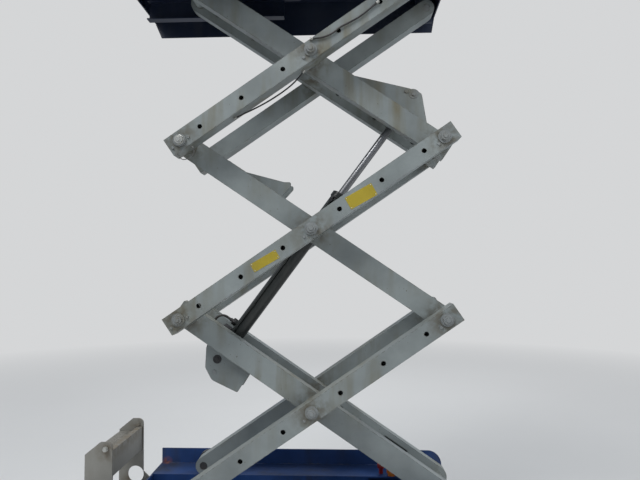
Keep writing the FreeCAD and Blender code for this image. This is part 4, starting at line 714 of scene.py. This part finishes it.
def cable(name, points, radius, material, body, node):
    """A round cable on a smooth curve that a route's points pull on."""
    line = bpy.data.curves.new(name, "CURVE")
    line.dimensions = "3D"
    line.bevel_depth = radius
    line.bevel_resolution = 5
    line.resolution_u = 10
    line.use_fill_caps = True
    run = line.splines.new("NURBS")
    run.points.add(len(points) - 1)
    run.points.foreach_set("co", np.column_stack([points, np.ones(len(points))]).ravel())
    run.order_u = 3
    run.use_endpoint_u = True
    line.materials.append(material)
    thing = bpy.data.objects.new(name, line)
    bpy.context.scene.collection.objects.link(thing)
    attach(thing, body)
    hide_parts(node)
    return thing


for name, node, route, radius, length, stiffness, material in (
        ("slack_lead", "slack_cable", SLACK_ROUTE, 0.0035, 0.372, "medium", cable_black),
        ("end_wire_loop", "end_wire", WIRE_ROUTE, 0.002, 0.105, "limp", wire_grey)):
    points = np.array([on_outer(2.5, x, HANG_Y, z) for x, z in route])
    cable(name, points, radius, material, "outer_3", node)

# Lift cylinder: black enamelled barrel with its valve, pipe and hose, and a hard chrome rod that
# slides out through a gland with a wiper ring. Clamped pins hold it between the arms' plates.
FOOT = (-0.2796, 1.10637)
HEAD = (0.67639, 2.38537)
RAM_SLOPE = math.radians(53.224)
barrel_black = enamel("barrel_black", (0.013, 0.016, 0.015), chips=0.25, grime=0.3, gloss=0.30,
                      film=(0.06, 0.06, 0.052))
rod_chrome = metal("rod_chrome", (0.29, 0.29, 0.30), 0.30, 0.0, 14.0)
seal_rubber = moulded("seal_rubber", (0.015, 0.015, 0.015), rough=0.5, dusty=0.1)
hose_black = moulded("hose_black", (0.014, 0.014, 0.015), rough=0.5, grain=520.0)
dress(barrel_black, "cylinder_barrel")
dress(axle_black, "cylinder_valve")
dress(rod_chrome, "cylinder_rod")


def on_ram(x, y, z):
    """A place on the cylinder, x along it from its foot pin and z above its axis, at rest."""
    return (FOOT[0] + x * math.cos(RAM_SLOPE) - z * math.sin(RAM_SLOPE), y,
            FOOT[1] + x * math.sin(RAM_SLOPE) + z * math.cos(RAM_SLOPE))


def about_ram(x, radius, count=96):
    """Places round the cylinder at one distance along it."""
    angle = around(count)[:, None]
    up = np.array([-math.sin(RAM_SLOPE), 0, math.cos(RAM_SLOPE)])
    return on_ram(x, 0, 0) + radius * (np.cos(angle) * (0.0, 1.0, 0.0) + np.sin(angle) * up)


def along_ram(x, y, z):
    """A socket that faces along the cylinder."""
    return socket_at(on_ram(x, y, z), (math.cos(RAM_SLOPE), 0, math.sin(RAM_SLOPE)))


def above_ram(x, y, z):
    """A socket that faces up from the cylinder."""
    return socket_at(on_ram(x, y, z), (-math.sin(RAM_SLOPE), 0, math.cos(RAM_SLOPE)))


piece("barrel_welds", joined(bead(about_ram(0.9725, 0.0375), 0.003, looped=True),
                             bead(about_ram(0.066, 0.0368), 0.0026, looped=True)),
      barrel_black, "cylinder_barrel")
bore_lip = turned([(0.0352, -0.0004), (0.0352, 0.003), (0.033, 0.004), (0.0262, 0.004),
                   (0.0245, 0.0065), (0.0205, 0.0072), (0.0192, 0.005), (0.0192, -0.0004)], 48)
piece("wiper_ring", stamped(bore_lip, [along_ram(0.999, 0, 0)]), seal_rubber, "cylinder_barrel")
HOSE_Y = -0.006
VALVE_PORT = 0.096
BARREL_PORT = 0.178
HOSE_ROUTE = ((VALVE_PORT, 0.0814), (VALVE_PORT, 0.1027), (0.1067, 0.1213), (0.1253, 0.132),
              (0.1467, 0.132), (0.1653, 0.1213), (0.176, 0.1027), (0.1773, 0.082),
              (BARREL_PORT, 0.066), (BARREL_PORT, 0.054))
COIL_X = 0.120
COIL_Y = -0.027
PIPE_Y = -0.0365
PIPE_UP = 0.0225
PIPE_START = 0.140
bands = [along_ram(x, PIPE_Y, PIPE_UP) for x in (0.30, 0.56, 0.82)]
PIPE_LONG = 0.822
clamp = turned([(0.0070, 0.0), (0.0076, 0.0006), (0.0076, 0.0134), (0.0070, 0.014)], 20)
pipe_skin = turned([(0.0054, 0.0), (0.0054, PIPE_LONG)], 20)
piece("ram_pipe", joined(stamped(pipe_skin, [along_ram(PIPE_START, PIPE_Y, PIPE_UP)]),
                         stamped(clamp, bands)), barrel_black, "cylinder_barrel")
points = np.array([on_ram(x, HOSE_Y, z) for x, z in HOSE_ROUTE])
cable("ram_hose", points, 0.006, hose_black, "cylinder_barrel", "valve_hose")
ferrule = turned([(0.0078, 0.0), (0.0088, 0.001), (0.0088, 0.006), (0.0081, 0.0075),
                  (0.0088, 0.009), (0.0088, 0.0165), (0.0078, 0.018)])
hexagon = prism([(0.0115, 0.0102, 0.0), (0.0115, FREE, 0.001), (0.0115, FREE, 0.009),
                 (0.0115, 0.0102, 0.010)], 6)
ends = [above_ram(VALVE_PORT, HOSE_Y, 0.0815), above_ram(BARREL_PORT, HOSE_Y, 0.0535)]
collars = [above_ram(VALVE_PORT, HOSE_Y, 0.0705), above_ram(BARREL_PORT, HOSE_Y, 0.0440)]
piece("hose_ends", joined(stamped(ferrule, ends), stamped(hexagon, collars)), axle_black,
      "cylinder_barrel")
coil_cover = slab(0.032, 0.030, 0.026, corner=0.005, soft=0.0012)
plug_cover = slab(0.022, 0.024, 0.014, corner=0.003, soft=0.0012)
round_coil = turned([(0.0085, 0.0), (0.0085, 0.005), (0.0175, 0.005), (0.0185, 0.006),
                     (0.0185, 0.036), (0.0165, 0.039), (0.0085, 0.0395), (0.0080, 0.045),
                     (0.0060, 0.047)], 32)
piece("valve_coil", joined(
    stamped(coil_cover, [above_ram(COIL_X, COIL_Y, 0.080)]),
    stamped(plug_cover, [socket_at(on_ram(COIL_X, -0.0415, 0.093), (0, -1, 0), RAM_SLOPE)]),
    stamped(round_coil, [above_ram(0.172, 0.026, 0.022)])), seal_rubber, "cylinder_barrel")
piece("coil_nut", stamped(bolt(0.018), [above_ram(COIL_X, COIL_Y, 0.1103)]), axle_black,
      "cylinder_barrel")
keeper = turned([(0.021, -0.0003), (0.021, 0.0022), (0.020, 0.003), (0.010, 0.003)], 32)
KEEPER_TALL = 0.0029
for word, (x, z), (dx, dz), finish, body in (
        ("foot", FOOT, (-0.014, -0.060), axle_black, "inner_1"),
        ("head", HEAD, (-0.034, 0.016), pin_grey, "inner_3")):
    middle = [(x, z, 0.2)]
    beside = [(x + dx, z + dz, 0.2)]
    covers = joined(stamped(keeper, outward(BORE_SIDE, middle)),
                    stamped(bolt(0.015), outward(BORE_SIDE + KEEPER_TALL, middle)))
    piece(f"ram_{word}_keepers", covers, finish, body)
    piece(f"ram_{word}_lock_bolts", stamped(bolt(0.017), outward(BORE_SIDE, beside)), pin_grey,
          body)

# Platform: folded steel skirts, beams and roller tracks in near-black navy, with bolts through
# the skirts, and a floor of chequered aluminium whose raised marks lie crosswise.
platform_navy = enamel("platform_navy", (0.006, 0.014, 0.038), chips=0.15, grime=0.2, gloss=0.40)
floor_plate = metal("floor_plate", (0.40, 0.41, 0.41), 0.42, 0.3)
dress(platform_navy, "platform_frame")
dress(floor_plate, "platform_floor")
FLOOR_RISE = 0.190
FLOOR_TOP = LEVELS[3] + FLOOR_RISE
SKIRT_FACE = 0.36
SKIRT_SEAM = SKIRT_FACE - 0.0065
TRACK_SEAM = 0.1785
MARK_PITCH = 0.033
MARK_START = (-0.728, -0.33)
MARK_COLUMNS = 48
MARK_ROWS = 21


def floor_mark():
    """A raised lens shape: two outlines, the upper one smaller. Each is an ellipse whose width is
    pinched by 0.45 of how far along it a point is."""
    angle = around(8)
    lens = np.stack([np.cos(angle), np.sin(angle) * (1 - 0.45 * np.abs(np.cos(angle)))], axis=-1)
    return layered(np.stack([np.column_stack([lens * size, np.full(8, z)])
                             for size, z in (((0.0135, 0.0042), -0.0002),
                                             ((0.0100, 0.0022), 0.0016))]))


marks = [socket_at((MARK_START[0] + MARK_PITCH * i, MARK_START[1] + MARK_PITCH * j, FLOOR_TOP),
                   (0, 0, 1), math.pi / 4 + math.pi / 2 * ((i + j) % 2))
         for j in range(MARK_ROWS) for i in range(MARK_COLUMNS)]
piece("floor_marks", stamped(floor_mark(), marks), floor_plate, "platform")
SKIRT_BOLTS_X = (-0.66, -0.36, -0.06, 0.24, 0.54, 0.78)
SKIRT_BOLTS_Z = (3.095, 3.235)
skirt_bolts = outward(SKIRT_FACE, [(x, z, 5 * x) for x in SKIRT_BOLTS_X for z in SKIRT_BOLTS_Z])
piece("skirt_bolts", stamped(bolt(0.016), skirt_bolts), axle_black, "platform")
seams = [stitch((x, side * SKIRT_SEAM, 3.072), (x, side * SKIRT_SEAM, 3.108))
         for side in SIDES for x in (-0.729, -0.679, -0.369, -0.319, -0.009, 0.041, 0.351, 0.401)]
seams += [stitch((x, side * TRACK_SEAM, 3.069), (x + 0.05, side * TRACK_SEAM, 3.069))
          for side in SIDES for x in (-0.70, -0.40, -0.10)]
piece("platform_welds", joined(*seams), platform_navy, "platform")

# Guardrails: round steel tube in the chassis's blue, welded into frames. Each post stands in a
# bolted foot on the floor, and a latch holds the entry gate.
rail_blue = enamel("rail_blue", BLUE, chips=0.6, grime=0.3, gloss=0.44)
dress(rail_blue, "guardrail_right", "guardrail_left", "guardrail_front", "guardrail_rear",
      "entry_gate")
REAR_POST = -0.719
MIDDLE_POST = 0.0535
FRONT_POST = 0.826
POST_Y = 0.334
MIDDLE_RAIL = FLOOR_TOP + 0.550
TOP_RAIL = FLOOR_TOP + 1.081
TUBE_FACE = 0.019
side_posts = [(x, side * POST_Y) for side in SIDES for x in (REAR_POST, MIDDLE_POST, FRONT_POST)]
end_posts = [(x, side * y) for x, y in ((FRONT_POST, 0.2837), (REAR_POST, 0.289))
             for side in SIDES]
foot_plates = facing_up(*[(x, y, FLOOR_TOP) for x, y in side_posts])
socket_ring = turned([(0.0235, -0.001), (0.0235, 0.038), (0.0225, 0.040), (0.0192, 0.040)], 32)
rings = facing_up(*[(x, y, FLOOR_TOP) for x, y in end_posts])
piece("post_feet", joined(stamped(slab(0.036, 0.110, 0.006, corner=0.006), foot_plates),
                          stamped(socket_ring, rings)), rail_blue, "platform")
foot_bolts = facing_up(*[(x + reach, y, FLOOR_TOP + 0.0058) for x, y in side_posts
                         for reach in (-0.040, 0.040)])
piece("post_bolts", stamped(bolt(0.013), foot_bolts), zinc, "platform")
angle = around(72)
circle = np.stack([0 * angle, 0.0192 * np.cos(angle), 0.0192 * np.sin(angle)], axis=-1)
joints = [bead(circle + (MIDDLE_POST + end * TUBE_FACE, y, MIDDLE_RAIL), 0.0028, looped=True)
          for y in (POST_Y, -POST_Y) for end in (-1, 1)]
piece("rail_welds", joined(*joints), rail_blue, "platform")
GATE_LATCH_Y = -0.243
latch_case = slab(0.030, 0.090, 0.014, corner=0.004, soft=0.001)
latch_knob = turned([(0.007, -0.001), (0.007, 0.010), (0.012, 0.013), (0.013, 0.018),
                     (0.010, 0.024), (0.004, 0.026)])
for name, form, x, z, finish in (("gate_latch", latch_case, -0.7345, 3.70, box_grey),
                                 ("gate_latch_knob", latch_knob, -0.7483, 3.715, signal_red)):
    piece(name, stamped(form, [socket_at((x, GATE_LATCH_Y, z), (-1, 0, 0))]), finish, "gate")

# Platform control: a moulded box on the front rail with a drive lever in a ribbed boot, a red stop
# button and three rocker switches on a sloped panel, all left without words.
dress(box_grey, "platform_control")
BOX_TOP = TOP_RAIL + 0.022
CONTROL_X = 0.781
stop_cap = turned([(0.0150, -0.0005), (0.0205, 0.001), (0.0210, 0.004), (0.0210, 0.009),
                   (0.0195, 0.0125), (0.014, 0.0145), (0.006, 0.0152)], 40)
piece("stop_button", stamped(stop_cap, facing_up((CONTROL_X, -0.054, BOX_TOP + 0.010))),
      signal_red, "platform")
# The boot narrows as it rises, by 0.40 of the height, and its folds are a sine with this pitch.
FOLD_PITCH = 0.0075
height = np.linspace(0, 0.034, 18)
fold = 0.026 - 0.40 * height + 0.0022 * np.sin(height * 2 * math.pi / FOLD_PITCH)
boot = turned(np.column_stack([fold, height - 0.0005]), 32)
piece("lever_boot", stamped(boot, facing_up((CONTROL_X, 0.052, BOX_TOP))), seal_rubber, "platform")
PANEL_OUT = (-0.487, 0, 0.873)
panel_at = np.array([0.709, 0.0, BOX_TOP - 0.029])
panel = stamped(slab(0.170, 0.088, 0.0022, corner=0.006), [socket_at(panel_at, PANEL_OUT)])
piece("control_panel", panel, clip_zinc, "platform")
switches = [socket_at(panel_at + (0, y, 0) + 0.002 * np.array(PANEL_OUT), PANEL_OUT)
            for y in (-0.05, 0.0, 0.05)]
piece("rocker_switches", stamped(slab(0.018, 0.028, 0.006, corner=0.003, soft=0.0015), switches),
      unit_black, "platform")

# Stage: a pale floor that keeps the shadow and fades into the pale room, soft lamps, and the
# camera as the photograph saw the object: from the right side and at a standing eye's height.
floor_mesh = bpy.data.meshes.new("floor")
FLOOR_REACH = 60
corners = [(x * FLOOR_REACH, y * FLOOR_REACH, 0) for x, y in ((-1, -1), (1, -1), (1, 1), (-1, 1))]
floor_mesh.from_pydata(corners, [], [(0, 1, 2, 3)])
floor = bpy.data.objects.new("floor", floor_mesh)
bpy.context.scene.collection.objects.link(floor)
ROOM = (0.78, 0.79, 0.80)
ROOM_GLOW = 0.85
HAZE_START = 2.4
HAZE_END = 9.0
floor_pale, tree, surface, place = blank_material("floor_pale")
shade = blend_colour(tree, speckle(tree, place, 0.6), (0.60, 0.60, 0.59), (0.66, 0.66, 0.65))
tree.links.new(shade, surface.inputs["Base Color"])
surface.inputs["Roughness"].default_value = 0.85
distance = shader(tree, "ShaderNodeVectorMath", {0: place}, operation="LENGTH").outputs["Value"]
haze = shader(tree, "ShaderNodeEmission", {"Color": (*ROOM, 1.0), "Strength": ROOM_GLOW})
seen = shader(tree, "ShaderNodeLightPath").outputs["Is Camera Ray"]
far = combined(tree, ramp(tree, distance, HAZE_START, HAZE_END), seen)
faded = shader(tree, "ShaderNodeMixShader", {0: far, 1: surface.outputs[0], 2: haze.outputs[0]})
output = next(node for node in tree.nodes if node.type == "OUTPUT_MATERIAL")
tree.links.new(faded.outputs[0], output.inputs[0])
floor_mesh.materials.append(floor_pale)

world = bpy.data.worlds.new("studio")
bpy.context.scene.world = world
world.use_nodes = True
tree = world.node_tree
tree.nodes.clear()
seen = shader(tree, "ShaderNodeLightPath").outputs["Is Camera Ray"]
room = shader(tree, "ShaderNodeBackground", {"Color": (0.73, 0.80, 0.90, 1.0), "Strength": 0.44})
pale = shader(tree, "ShaderNodeBackground", {"Color": (*ROOM, 1.0), "Strength": ROOM_GLOW})
both = shader(tree, "ShaderNodeMixShader", {0: seen, 1: room.outputs[0], 2: pale.outputs[0]})
shader(tree, "ShaderNodeOutputWorld", {0: both.outputs[0]})

LAMPS = (  # name, place, aimed at, width, watts
    ("key", (-2.6, -3.4, 7.4), (0.0, 0.0, 1.8), 3.2, 350),
    ("fill", (4.2, -3.4, 3.2), (0.0, 0.0, 1.6), 3.0, 70),
    ("back", (1.0, 4.8, 5.0), (0.0, 0.0, 2.0), 3.5, 190),
)
for name, at, aim, width, watts in LAMPS:
    lamp = bpy.data.lights.new(name, "AREA")
    lamp.energy = watts
    lamp.size = width
    stand = bpy.data.objects.new(name, lamp)
    bpy.context.scene.collection.objects.link(stand)
    stand.location = at
    stand.visible_glossy = name != "back"
    stand.rotation_euler = (Vector(aim) - Vector(at)).to_track_quat("-Z", "Y").to_euler()

CAMERA_AT = (0.325, -2.687, 1.56)
CAMERA_HEADING = 2.33
CAMERA_PITCH = 2.62
CAMERA_ROLL = -0.22
LENS_OVER_SENSOR = 540 / 640
SENSOR = 36.0
eye = bpy.data.cameras.new("eye")
eye.sensor_width = SENSOR
eye.lens = SENSOR * LENS_OVER_SENSOR
camera = bpy.data.objects.new("camera", eye)
bpy.context.scene.collection.objects.link(camera)
camera.location = CAMERA_AT
aim = Matrix.Rotation(math.radians(CAMERA_HEADING), 4, "Z")
aim = aim @ Matrix.Rotation(math.radians(90 + CAMERA_PITCH), 4, "X")
aim = aim @ Matrix.Rotation(math.radians(CAMERA_ROLL), 4, "Z")
camera.rotation_euler = aim.to_euler()
bpy.context.scene.camera = camera
bpy.context.scene.view_settings.view_transform = "Standard"
